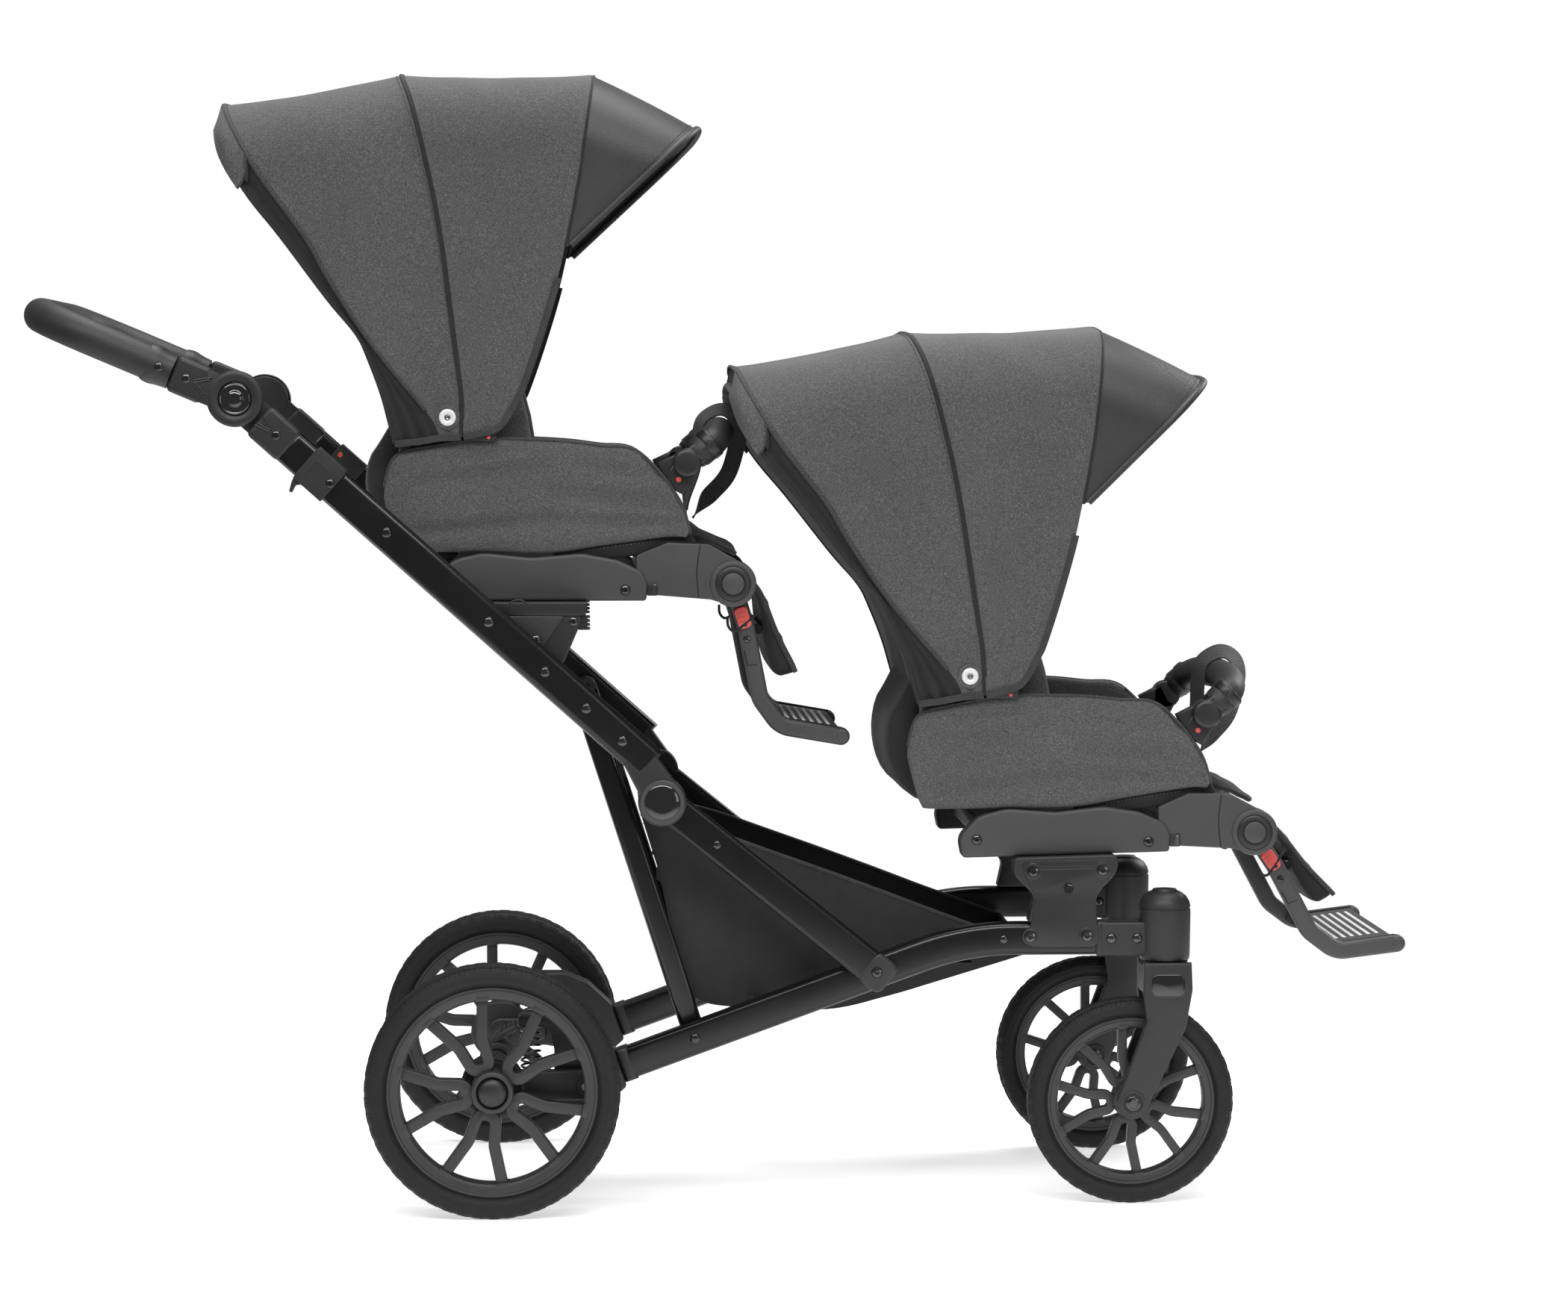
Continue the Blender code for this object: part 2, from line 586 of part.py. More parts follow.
def sprung_axle():
    pivot = (AXLE_PIVOT_X, AXLE_HEIGHT)
    centre = (0, AXLE_HEIGHT)
    arm_inner = HOUSING_Y + HOUSING_WIDTH / 2 + GAP
    arm_outer = arm_inner + ARM_WIDTH
    drum_end = REAR_TYRE_INNER_FACE - 2 * GAP - RUNNING_GAP
    recess = REAR_TYRE_INNER_FACE + REAR_TYRE_WIDTH - RELEASE_HEIGHT
    half = ARM_DEPTH / 2
    arm = arc(centre, half, math.pi / 2, 3 * math.pi / 2, 6) + arc(pivot, half, -math.pi / 2, math.pi / 2, 6)
    seat_top = SPRING_BOTTOM - SPRING_WIRE - GAP
    pieces = [rod(centre, AXLE_TUBE_RADIUS, -arm_outer + 0.004, arm_outer - 0.004, steps=16)]
    for side, s in SIDES:
        pieces.append(plate(arm, s * arm_inner, s * arm_outer, 0.002, 1))
        pieces.append(rod(centre, DRUM_RADIUS, s * (arm_inner + 0.008), s * drum_end, steps=20))
        pieces.append(rod(centre, STUB_RADIUS, s * (drum_end - 0.006), s * (recess - 0.008), steps=12))
        pieces.append(box(SPRING_X - 0.014, SPRING_X + 0.014, s * (SPRING_Y - 0.013), s * (arm_inner + 0.002),
                          AXLE_HEIGHT - 0.004, seat_top))
    axle = assemble("rear_axle", "matte_plastic", pieces, pivot=at(pivot))

    made = [axle]
    for side, s in SIDES:
        height = SPRING_TOP - SPRING_BOTTOM
        points = []
        for i in range(SPRING_CURLS * SPRING_POINTS + 1):
            turn = 2 * math.pi * i / SPRING_POINTS
            rise = height * i / (SPRING_CURLS * SPRING_POINTS)
            points.append((SPRING_X + SPRING_RADIUS * math.cos(turn),
                           s * (SPRING_Y + SPRING_RADIUS * math.sin(turn)), SPRING_BOTTOM + rise))
        nearest = min((Vector(points[i]) - Vector(points[j])).length
                      for i in range(len(points)) for j in range(i + SPRING_POINTS // 2, len(points)))
        print(f"spring_{side}: least gap to itself {(nearest - 2 * SPRING_WIRE) * 1000:.2f} mm")
        coil = tube(points, SPRING_WIRE, 1)
        made.append(assemble(f"suspension_spring_{side}", "spring_steel", [coil],
                             pivot=(SPRING_X, s * SPRING_Y, SPRING_TOP)))

    low = AXLE_TUBE_RADIUS + RUNNING_GAP
    saddle = arc(centre, low + 0.008, math.radians(15), math.radians(165), 8)
    saddle += arc(centre, low, math.radians(165), math.radians(15), 8)
    root = along(centre, math.radians(110), low + 0.004)
    lever = ribbon([root, (0.002, 0.1780), PEDAL_TIP], 0.0080)
    half = PEDAL_WIDTH / 2
    made.append(assemble("brake_pedal", "matte_plastic",
                         [plate(saddle[::-1], -half, half), plate(lever, -half + 0.004, half - 0.004)],
                         pivot=at(centre)))
    return made


def front_seat_mount(place):
    """Two docks on the lower tubes, with the cross tube that ties them."""
    tube_top = LOWER_TUBE_CORNER[1] + LOWER_TUBE_DEPTH / 2 + GAP
    inner, outer = LOWER_TUBE_INNER, LOWER_TUBE_OUTER
    rear_top = place((-0.0060, DOCK_TOP))
    front_top = place((0.1200, DOCK_TOP))
    dock = [(0.6350, tube_top), (0.7180, tube_top), (0.7150, 0.3700), (0.7380, 0.3930), front_top, rear_top,
            (0.6180, 0.3930), (0.6420, 0.3700)]
    plate_outline = [(0.6310, 0.3080), (0.7210, 0.3080), (0.7160, 0.3450), (0.7160, 0.3700), (0.7400, 0.3980),
                     (0.7437, 0.4130), (0.6276, 0.4110), (0.6300, 0.3980), (0.6430, 0.3700), (0.6400, 0.3450)]
    face_in = outer + GAP
    face_out = face_in + FRONT_PLATE_THICK
    pieces = [rod((FRONT_DOCK_TUBE_X, FRONT_DOCK_TUBE_Z), 0.0140, -inner - 0.004, inner + 0.004)]
    for side, s in SIDES:
        pieces.append(plate(dock, s * inner, s * (face_in + 0.001), 0.0))
        pieces.append(plate(plate_outline, s * face_in, s * face_out, 0.0))
    return [assemble("front_seat_mount", "matte_plastic", pieces)]


def basket():
    outline = [(0.1760, 0.4640), (0.2000, 0.3900), (0.2370, 0.2400), (0.3965, 0.2290), (0.5343, 0.2640),
               (0.6340, 0.2920), (0.6360, 0.3050), (0.5326, 0.3440), (0.3329, 0.4180)]
    floor = inset(outline, BASKET_WALL)
    above = 0.5400
    hollow = floor[:7] + [(floor[6][0], above), (floor[0][0], above)]
    body = plate(outline, -BASKET_HALF_WIDTH, BASKET_HALF_WIDTH, 0.006, 1)
    room = plate(hollow, -BASKET_HALF_WIDTH + BASKET_WALL, BASKET_HALF_WIDTH - BASKET_WALL)
    inner = LOWER_TUBE_INNER - GAP
    tabs = []
    for x, z in ((0.3150, 0.2440), (0.5600, 0.2860)):
        for side, s in SIDES:
            tabs.append(box(x - 0.012, x + 0.012, s * (BASKET_HALF_WIDTH - 0.003), s * inner, z - 0.0015, z + 0.0015))
    return [assemble("basket", "black_cloth", [body, *tabs], [room])]


# Folding frame

def upper_tube_line():
    """The start and direction of the straight upper tube, which points at the handle's hub."""
    return UPPER_TUBE_FOOT, heading(UPPER_TUBE_FOOT, HANDLE_HUB)


def folding_frame():
    made = []
    link_outer = LINK_INNER + LINK_THICK
    upper_outer = UPPER_INNER + UPPER_THICK
    pivot = at(LINK_PIVOT)
    hub = at(HUB)

    link_path = [along(HUB, heading(HUB, LINK_PIVOT), 0.004), along(LINK_PIVOT, heading(HUB, LINK_PIVOT), 0.018)]
    for side, s in SIDES:
        bar = plate(ribbon(link_path, LINK_DEPTH), s * LINK_INNER, s * link_outer, 0.005, 2)
        eye = rod(HUB, HUB_RADIUS - 0.001, s * LINK_INNER, s * link_outer, steps=24)
        made.append(assemble(f"lower_link_{side}", "satin_black", [bar, eye], pivot=pivot))
    reach = LINK_INNER - GAP
    made.append(assemble("hub_cross_tube", "satin_black", [rod(HUB, HUB_TUBE_RADIUS, -reach, reach)], pivot=pivot))

    foot, slope = upper_tube_line()
    length = span(foot, HANDLE_HUB)
    pin_inner = STRUT_INNER + STRUT_THICK + GAP
    eye_outer = UPPER_INNER + UPPER_THICK / 2 - GAP / 2
    neck = [along(HUB, slope, -0.006, -0.026), along(HUB, slope, -0.006, 0.026), along(foot, slope, 0.030, 0.019),
            along(foot, slope, 0.030, -0.019)]
    for side, s in SIDES:
        bar = plate(ribbon([foot, along(foot, slope, length - HANDLE_HUB_CLEAR)], UPPER_DEPTH),
                    s * UPPER_INNER, s * upper_outer, 0.006, 1)
        bracket = plate(neck, s * (UPPER_INNER + SINK), s * (upper_outer - SINK))
        disc = rod(HUB, HUB_RADIUS, s * UPPER_INNER, s * (upper_outer + HUB_CAP), steps=24)
        pin = rod(STRUT_HEAD, PIVOT_BOSS_RADIUS * 0.75, s * pin_inner, s * (UPPER_INNER + 0.003), steps=12)
        tongue_path = [along(foot, slope, length - HANDLE_HUB_CLEAR - 0.006), HANDLE_HUB]
        tongue = plate(ribbon(tongue_path, 0.040), s * (UPPER_INNER + SINK), s * (eye_outer - SINK))
        eye = rod(HANDLE_HUB, HANDLE_EYE_RADIUS, s * UPPER_INNER, s * eye_outer, steps=20)
        made.append(assemble(f"upper_tube_{side}", "satin_black", [bar, bracket, disc, pin, tongue, eye],
                             pivot=hub))

    for side, s in SIDES:
        inner, outer = s * STRUT_INNER, s * (STRUT_INNER + STRUT_THICK)
        bar = plate(ribbon([STRUT_FOOT, STRUT_HEAD], STRUT_WIDTH), inner, outer, 0.005, 1)
        ends = [rod(point, STRUT_EYE_RADIUS, inner, outer, steps=14) for point in (STRUT_FOOT, STRUT_HEAD)]
        made.append(assemble(f"strut_{side}", "satin_black", [bar, *ends], pivot=at(STRUT_FOOT)))

    wall = SLIDER_WALL
    start = length - SLIDER_CENTRE - SLIDER_LENGTH / 2
    mouth = [along(foot, slope, start), along(foot, slope, start + SLIDER_LENGTH)]
    hook = [along(mouth[0], slope, 0.004, 0.020), along(mouth[0], slope, 0.020, 0.020),
            along(mouth[0], slope, 0.016, 0.0330), along(mouth[0], slope, -0.004, 0.0400),
            along(mouth[0], slope, 0.000, 0.0330)]
    for side, s in SIDES:
        sleeve = plate(ribbon(mouth, UPPER_DEPTH + 2 * (wall + 2 * GAP)), s * (UPPER_INNER - wall - GAP),
                       s * (upper_outer + wall + GAP))
        trigger = plate(hook[::-1], s * (UPPER_INNER + 0.004), s * (upper_outer - 0.004))
        hole = ribbon([along(foot, slope, start - 0.01), along(foot, slope, start + SLIDER_LENGTH + 0.01)],
                      UPPER_DEPTH + 4 * GAP)
        made.append(assemble(f"fold_slider_{side}", "matte_plastic", [sleeve, trigger],
                             [plate(hole, s * (UPPER_INNER - GAP), s * (upper_outer + GAP))],
                             pivot=at(along(foot, slope, start + SLIDER_LENGTH / 2), s * HANDLE_Y)))

    flange = [(-0.0450, DOCK_TOP - 0.0160), (0.1110, DOCK_TOP - 0.0160), (0.1126, DOCK_TOP), (-0.0450, DOCK_TOP)]
    web = [(-0.0400, DOCK_TOP - 0.0080), (0.0300, 0.6700), (0.0640, 0.6340), (0.0740, 0.6360), (0.0860, 0.6520),
           (0.1100, DOCK_TOP - 0.0120)]
    for side, s in SIDES:
        outer = s * (UPPER_INNER - GAP)
        pieces = [plate(flange, s * DOCK_FLANGE_INNER, outer), plate(web, s * (UPPER_INNER - DOCK_THICK), outer)]
        made.append(assemble(f"rear_dock_{side}", "matte_plastic", pieces, pivot=hub))
    return made


def handle():
    """The U-shaped handle with its hubs, and the angle buttons in them."""
    half_lap = UPPER_INNER + UPPER_THICK / 2 + GAP / 2
    outer = UPPER_INNER + UPPER_THICK
    bend = HANDLE_BEND_RADIUS
    plan = [(0.060, -HANDLE_Y), (HANDLE_REACH - bend, -HANDLE_Y)]
    plan += arc((HANDLE_REACH - bend, -HANDLE_Y + bend), bend, -math.pi / 2, 0, 6)[1:]
    plan += [(reach, -y) for reach, y in plan[::-1]]
    points = []
    for reach, y in plan:
        points.append(at(along(HANDLE_HUB, HANDLE_ANGLE, reach), y))
    pieces = [tube(points, HANDLE_GRIP_RADIUS, 2)]
    cuts = []
    floor = outer - HANDLE_BUTTON_TRAVEL - 0.0030
    made = []
    for side, s in SIDES:
        sleeve_path = [along(HANDLE_HUB, HANDLE_ANGLE, reach) for reach in (HANDLE_HUB_CLEAR, HANDLE_SLEEVE_END)]
        sleeve = plate(ribbon(sleeve_path, HANDLE_SLEEVE_DEPTH), s * (HANDLE_Y - 0.0150), s * (outer - SINK), 0.005, 1)
        tongue_path = [HANDLE_HUB, along(HANDLE_HUB, HANDLE_ANGLE, HANDLE_HUB_CLEAR + 0.006)]
        tongue = plate(ribbon(tongue_path, 0.040), s * (half_lap + SINK), s * (outer - 2 * SINK))
        pieces += [sleeve, tongue, rod(HANDLE_HUB, HANDLE_HUB_RADIUS, s * half_lap, s * outer, steps=24)]
        cuts.append(rod(HANDLE_HUB, HANDLE_BUTTON_RADIUS + RUNNING_GAP, s * floor, s * (outer + 0.01), steps=20))
        low = floor + HANDLE_BUTTON_TRAVEL + GAP / 2
        rise = HUB_CAP
        dome = [(0, low), (HANDLE_BUTTON_RADIUS, low), (HANDLE_BUTTON_RADIUS, outer + rise * 0.3),
                (HANDLE_BUTTON_RADIUS * 0.75, outer + rise * 0.85), (0, outer + rise)]
        button = turned(at(HANDLE_HUB), [(r, s * y) for r, y in dome], steps=18)
        made.append(assemble(f"handle_button_{side}", "gloss_black", [button], pivot=at(HANDLE_HUB, s * outer)))
    made.append(assemble("handlebar", "leatherette", pieces, cuts, pivot=at(HANDLE_HUB)))
    return made


# Seats

def hood_bow(path, corner, steps=3):
    """The curve of a hood bow: up the right side along a side-view path, over, and down the left."""
    lengths = [0.0]
    for a, b in zip(path, path[1:]):
        lengths.append(lengths[-1] + span(a, b))
    total = lengths[-1]

    def on_side(distance):
        distance = min(max(distance, 0.0), total)
        for i in range(1, len(path)):
            if distance <= lengths[i] + 1e-9:
                return between(path[i - 1], path[i], (distance - lengths[i - 1]) / (lengths[i] - lengths[i - 1]))
        return path[-1]

    straight = total - corner
    half = []
    for i in range(HOOD_STEPS + 1):
        half.append((straight * i / HOOD_STEPS, 0.0))
    for i in range(1, steps + 1):
        a = math.pi / 2 * i / steps
        half.append((straight + corner * math.sin(a), corner * (1 - math.cos(a))))
    rest = HOOD_HALF_WIDTH - corner
    tip = heading(path[-2], path[-1])
    points = []
    for distance, drawn_in in half:
        points.append(at(on_side(distance), -(HOOD_HALF_WIDTH - drawn_in)))
    for i in (1, 2):
        across = -rest + rest * i / 2
        lift = HOOD_CROWN * (1 - (across / rest) ** 2)
        points.append(at(along(path[-1], tip, lift), across))
    return points + [(x, -y, z) for x, y, z in points[-2::-1]]


def cloth_shell(bows, cap_first=False):
    """Cloth stretched from bow to bow, given its thickness on the inside."""
    bm = bmesh.new()
    rows = [[bm.verts.new(p) for p in bow] for bow in bows]
    for a, b in zip(rows, rows[1:]):
        for i in range(len(a) - 1):
            bm.faces.new((a[i], a[i + 1], b[i + 1], b[i]))
    if cap_first:
        bm.faces.new(rows[0][::-1])
    bmesh.ops.recalc_face_normals(bm, faces=bm.faces)
    centre = sum((v.co for v in bm.verts), Vector()) / len(bm.verts)
    top = max(bm.faces, key=lambda f: f.calc_center_median().z)
    if top.normal.dot(top.calc_center_median() - centre) < 0:
        bmesh.ops.reverse_faces(bm, faces=bm.faces)
    mesh = bpy.data.meshes.new("cloth")
    bm.to_mesh(mesh)
    bm.free()
    shell = bpy.data.objects.new("cloth", mesh)
    bpy.context.scene.collection.objects.link(shell)
    thick = shell.modifiers.new("thickness", "SOLIDIFY")
    thick.thickness = HOOD_CLOTH
    thick.offset = -1
    thick.use_even_offset = True
    thick.use_quality_normals = True
    seen = shell.evaluated_get(bpy.context.evaluated_depsgraph_get())
    shell.data = bpy.data.meshes.new_from_object(seen)
    shell.modifiers.clear()
    return shell


def hood(prefix):
    back_foot, back_tip = (-0.1230, 0.9450), (-0.3220, 1.2830)
    bow_1, bow_2, bow_3 = (-0.3180, 1.3074), (-0.1160, 1.3437), (0.1190, 1.3450)
    made = []
    angle_2 = heading(SNAP, bow_2)
    start_1 = along(SNAP, heading(SNAP, bow_1), SNAP_TAB_RADIUS - 0.004)
    start_2 = along(SNAP, angle_2, SNAP_TAB_RADIUS - 0.004)
    rows = [hood_bow([back_foot, back_tip], HOOD_CORNER), hood_bow([start_1, bow_1], HOOD_CORNER),
            hood_bow([start_2, bow_2], HOOD_CORNER)]
    rear = [cloth_shell(rows, cap_first=True)]
    for side, s in SIDES:
        rear.append(rod(SNAP, SNAP_TAB_RADIUS, s * (HOOD_HALF_WIDTH - HOOD_CLOTH), s * HOOD_HALF_WIDTH, steps=20))
    made.append(assemble(f"{prefix}_hood_rear", "melange_cloth", rear, pivot=at(BACKREST_PIVOT)))

    front_edge = [(0.0080, 0.9360), (0.0373, 0.9834), (0.0776, 1.1017), (0.0990, 1.2240), bow_3]
    ahead = SNAP_TAB_RADIUS + CLOTH_GAP * 4
    low_2 = along(SNAP, angle_2 - math.radians(4.0), ahead)
    shift = (math.sin(angle_2) * CLOTH_GAP, -math.cos(angle_2) * CLOTH_GAP)
    top_2 = (bow_2[0] + shift[0], bow_2[1] + shift[1])
    rows = [hood_bow([low_2, top_2], HOOD_CORNER), hood_bow(front_edge, HOOD_CORNER)]
    made.append(assemble(f"{prefix}_hood_front", "melange_cloth", [cloth_shell(rows)], pivot=at(SNAP)))

    low_end = (0.0814 + CLOTH_GAP, 1.1221)
    seam_top = (bow_3[0] + CLOTH_GAP * 1.4, bow_3[1] - 0.0020)
    tip = (0.2440, 1.2800)
    seam = [low_end, (0.0990 + CLOTH_GAP * 1.4, 1.2240), seam_top]
    brim = [(low_end[0] + 0.0120, low_end[1] + 0.0060), tip]
    rows = [hood_bow(seam, HOOD_CORNER), hood_bow(brim, HOOD_CORNER * 0.9)]
    made.append(assemble(f"{prefix}_visor", "leatherette", [cloth_shell(rows)], pivot=at(SNAP)))
    return made


def seat_frame(prefix):
    cover = [(-0.0660, SEAT_COVER_BOTTOM), (0.1820, SEAT_COVER_BOTTOM), (0.1860, 0.7350), (0.1840, 0.7600),
             (0.1500, 0.7720), (0.1050, SEAT_COVER_TOP - 0.001), (0.0470, 0.7717), (-0.0110, SEAT_COVER_TOP),
             (-0.0450, 0.7700), (-0.0700, 0.7450)]
    rail = [(0.1700, 0.7290), (0.2584, 0.7218), (0.2849, 0.7134), (0.3050, 0.7600), (0.2570, 0.7873),
            (0.2073, 0.7894), (0.1700, 0.7740)]
    pieces = [rod((-0.0400, 0.7480), SEAT_TUBE_RADIUS, -SEAT_FRAME_INNER - 0.004, SEAT_FRAME_INNER + 0.004,
                  steps=12),
              rod((0.1760, 0.7540), SEAT_TUBE_RADIUS, -SEAT_FRAME_INNER - 0.004, SEAT_FRAME_INNER + 0.004,
                  steps=12)]
    for side, s in SIDES:
        inner, outer = s * SEAT_FRAME_INNER, s * SEAT_FRAME_OUTER
        pieces.append(plate(cover, inner, outer, 0.004, 1))
        pieces.append(plate(rail, inner, s * (SEAT_FRAME_OUTER - 0.0030), 0.004, 1))
        pieces.append(rod(FOOTREST_HUB, FOOTREST_HUB_RADIUS, inner, outer, steps=20))
    return [assemble(f"{prefix}_seat_frame", "matte_plastic", pieces, pivot=at(SEAT_DATUM))]


def seat_shell(prefix):
    """The cloth shell: two side walls, the cushion between them, and the feet of the bumper bar."""
    base = SEAT_COVER_TOP + GAP
    over_rail = 0.7894 + GAP
    side = [(-0.1130, base), (0.1740, base), (0.2000, over_rail), (0.2310, over_rail), (0.2340, 0.8000),
            (0.2210, 0.8415), (0.1745, 0.8965), (0.1280, 0.9040), (0.0820, 0.9097), (0.0200, 0.9125),
            (-0.0170, 0.9120), (-0.0700, 0.9040), (-0.1100, 0.8951), (-0.1240, 0.8700), (-0.1280, 0.8403)]
    cushion = [(-0.0560, base), (0.1740, base), (0.2000, over_rail), (0.2310, over_rail), (0.2320, 0.8120),
               (0.2180, CUSHION_TOP), (0.0900, CUSHION_TOP + 0.006), (-0.0400, CUSHION_TOP), (-0.0560, 0.8080)]
    inner = SHELL_HALF_WIDTH - SHELL_WALL
    adapter = [(0.2140, 0.8500), BUMPER_PIVOT]
    pieces = [plate(cushion, -inner - 0.003, inner + 0.003)]
    for name, s in SIDES:
        pieces.append(plate(side, s * inner, s * SHELL_HALF_WIDTH, 0.008, 1))
        eye_inner = s * (BUMPER_Y - BUMPER_EYE_WIDTH)
        pieces.append(plate(ribbon(adapter, 0.024), eye_inner, s * (BUMPER_Y - GAP)))
        pieces.append(rod(BUMPER_PIVOT, BUMPER_EYE_RADIUS, eye_inner, s * (BUMPER_Y - GAP), steps=14))
    return [assemble(f"{prefix}_seat_shell", "melange_cloth", pieces, pivot=at(SEAT_DATUM), smooth=50)]


def backrest(prefix):
    outline = [(-0.0950, 0.7790), (-0.0720, 0.8000), (-0.0640, 0.8600), (-0.0700, 0.9300), (-0.1020, 1.0200),
               (-0.1800, 1.1800), (-0.2060, 1.2000), (-0.2400, 1.1960), (-0.1760, 1.0700), (-0.1150, 0.9540),
               (-0.1310, 0.9160), (-0.1480, 0.8880), (-0.1520, 0.8500), (-0.1400, 0.8100), (-0.1180, 0.7850)]
    wing = [(-0.0940, 0.8900), (-0.0620, 0.9160), (-0.0380, 0.9250), (-0.0360, 0.9500), (-0.0600, 0.9560),
            (-0.1300, 1.0250), (-0.1340, 1.0100)]
    pieces = [plate(outline, -BACKREST_HALF_WIDTH, BACKREST_HALF_WIDTH, BACKREST_EDGE, 1)]
    wall = SHELL_HALF_WIDTH - SHELL_WALL - GAP
    for side, s in SIDES:
        inner = BACKREST_HALF_WIDTH - 0.0200
        pieces.append(rod(BACKREST_PIVOT, HINGE_PIN_RADIUS, s * inner, s * wall, steps=16))
        pieces.append(plate(wing, s * inner, s * (BACKREST_HALF_WIDTH - 0.0010)))
        pieces.append(rod(SNAP, 0.0080, s * (inner + 0.004), s * (HOOD_HALF_WIDTH - HOOD_CLOTH - GAP), steps=16))
    return [assemble(f"{prefix}_backrest", "black_cloth", pieces, pivot=at(BACKREST_PIVOT), smooth=50)]


def bumper(prefix):
    """The padded bar over the child's lap, with an eye at each end."""
    lift = heading(BUMPER_PIVOT, BUMPER_CENTRE)
    reach = span(BUMPER_PIVOT, BUMPER_CENTRE)
    root = BUMPER_EYE_RADIUS + 2 * RUNNING_GAP
    straight = [root, root + 0.004, root + 0.008]
    plan = [(forward, -BUMPER_Y) for forward in straight]
    for i in range(BUMPER_STEPS + 1):
        turn = BUMPER_START + (math.pi - 2 * BUMPER_START) * i / BUMPER_STEPS
        plan.append((reach * math.sin(turn) ** BUMPER_FULLNESS, -BUMPER_Y * math.cos(turn)))
    plan += [(forward, BUMPER_Y) for forward in straight[::-1]]
    points = [at(along(BUMPER_PIVOT, lift, forward), y) for forward, y in plan]
    pieces = [tube(points, BUMPER_RADIUS, 2)]
    for side, s in SIDES:
        pieces.append(rod(BUMPER_PIVOT, BUMPER_EYE_RADIUS, s * BUMPER_Y, s * (BUMPER_Y + BUMPER_RADIUS - SINK),
                          steps=14))
        neck = [BUMPER_PIVOT, along(BUMPER_PIVOT, lift, 0.024)]
        pieces.append(plate(ribbon(neck, 0.024), s * (BUMPER_Y + SINK), s * (BUMPER_Y + BUMPER_RADIUS - 5 * SINK)))
    return [assemble(f"{prefix}_bumper_bar", "leatherette", pieces, pivot=at(BUMPER_PIVOT), smooth=50)]


def footrest(prefix):
    inner = FOOTREST_ARM_INNER
    outer = inner + FOOTREST_ARM_WIDTH
    arm = [FOOTREST_HUB, (0.3010, 0.6900), (0.3180, 0.6020), (0.3420, 0.5690), (0.4150, 0.5565)]
    foot = [(0.3360, 0.5800), (0.3460, 0.5700), (0.4120, 0.5590)]
    calf = [(0.2980, 0.7480), (0.3240, 0.7060), (0.3420, 0.6500), (0.3500, 0.6230)]
    button_at = (0.2975, 0.6991)
    lean = heading(FOOTREST_HUB, arm[1])
    floor = outer - BUTTON_TRAVEL - 0.0020

    def pad(grow):
        length, width = BUTTON_LENGTH / 2 + grow, BUTTON_WIDTH / 2 + grow
        corners = ((-length, -width), (length, -width), (length, width), (-length, width))
        return [along(button_at, lean, *corner) for corner in corners]

    behind = along(between(calf[1], calf[2], 0.3), heading(calf[1], calf[2]), 0, -(CALF_THICK / 2 + CALF_BAR_RADIUS + GAP))
    pieces = [plate(ribbon(foot, FOOT_PLATE_THICK), -inner - 0.004, inner + 0.004),
              rod(behind, CALF_BAR_RADIUS, -inner - 0.004, inner + 0.004, steps=12)]
    cuts = []
    made = []
    for side, s in SIDES:
        pieces.append(plate(ribbon(arm, 0.0210), s * inner, s * outer, 0.004, 1))
        pieces.append(rod(FOOTREST_HUB, FOOTREST_EYE_RADIUS, s * (inner - SINK), s * (outer - SINK), steps=16))
        cuts.append(plate(pad(GAP), s * floor, s * (outer + 0.01)))
        cap = plate(pad(0.0), s * (floor + BUTTON_TRAVEL + GAP / 2), s * (outer + 0.0040), 0.0010, 1)
        made.append(assemble(f"{prefix}_footrest_button_{side}", "coral", [cap], pivot=at(button_at, s * outer)))
    made.append(assemble(f"{prefix}_footrest", "matte_plastic", pieces, cuts, pivot=at(FOOTREST_HUB)))

    slab = plate(ribbon(calf, CALF_THICK), -CALF_HALF_WIDTH, CALF_HALF_WIDTH, 0.005, 2)
    made.append(assemble(f"{prefix}_calf_pad", "black_cloth", [slab], pivot=at(FOOTREST_HUB), smooth=50))
    return made


def seat(prefix, place, raise_angle):
    """One seat; its footrest hangs on an empty that is turned about its hub."""
    pieces = seat_frame(prefix) + seat_shell(prefix) + backrest(prefix) + bumper(prefix) + hood(prefix)
    hang(pieces, place)
    hub = guide_empty(f"{prefix}_footrest_axis", at(FOOTREST_HUB), place)
    hub.rotation_euler = (0, -raise_angle, 0)
    low = footrest(prefix)
    for piece in low:
        piece.location -= Vector(at(FOOTREST_HUB))
    hang(low, hub)
    return pieces + low


def front_place(point):
    """Where a side-view point of the rear seat lies on the front seat."""
    c, s = math.cos(FRONT_SEAT_TILT), math.sin(FRONT_SEAT_TILT)
    x, z = point[0] - SEAT_DATUM[0], point[1] - SEAT_DATUM[1]
    return (SEAT_DATUM[0] + FRONT_SEAT_SHIFT[0] + c * x - s * z,
            SEAT_DATUM[1] + FRONT_SEAT_SHIFT[1] + s * x + c * z)


def build():
    start_clean()
    middle = guide_empty("stroller")
    frame = rear_wheels() + front_wheels() + casters() + lower_tubes() + rear_cross_member() + sprung_axle()
    frame += front_seat_mount(front_place) + basket() + folding_frame() + handle()
    hang(frame, middle)
    rear = guide_empty("rear_seat", parent=middle)
    front = guide_empty("front_seat", at(front_place((0, 0))), middle)
    front.rotation_euler = (0, -FRONT_SEAT_TILT, 0)
    parts = frame + seat("rear", rear, 0.0) + seat("front", front, FRONT_FOOTREST_RAISE)

    bpy.context.view_layer.update()
    xs = [(part.matrix_world @ vertex.co).x for part in parts for vertex in part.data.vertices]
    middle.location.x = -(min(xs) + max(xs)) / 2
    bpy.context.view_layer.update()
    print(f"middle of the length at x = {-middle.location.x:.5f} m from the rear axle")


build()
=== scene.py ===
import bisect
import json
import math
import random

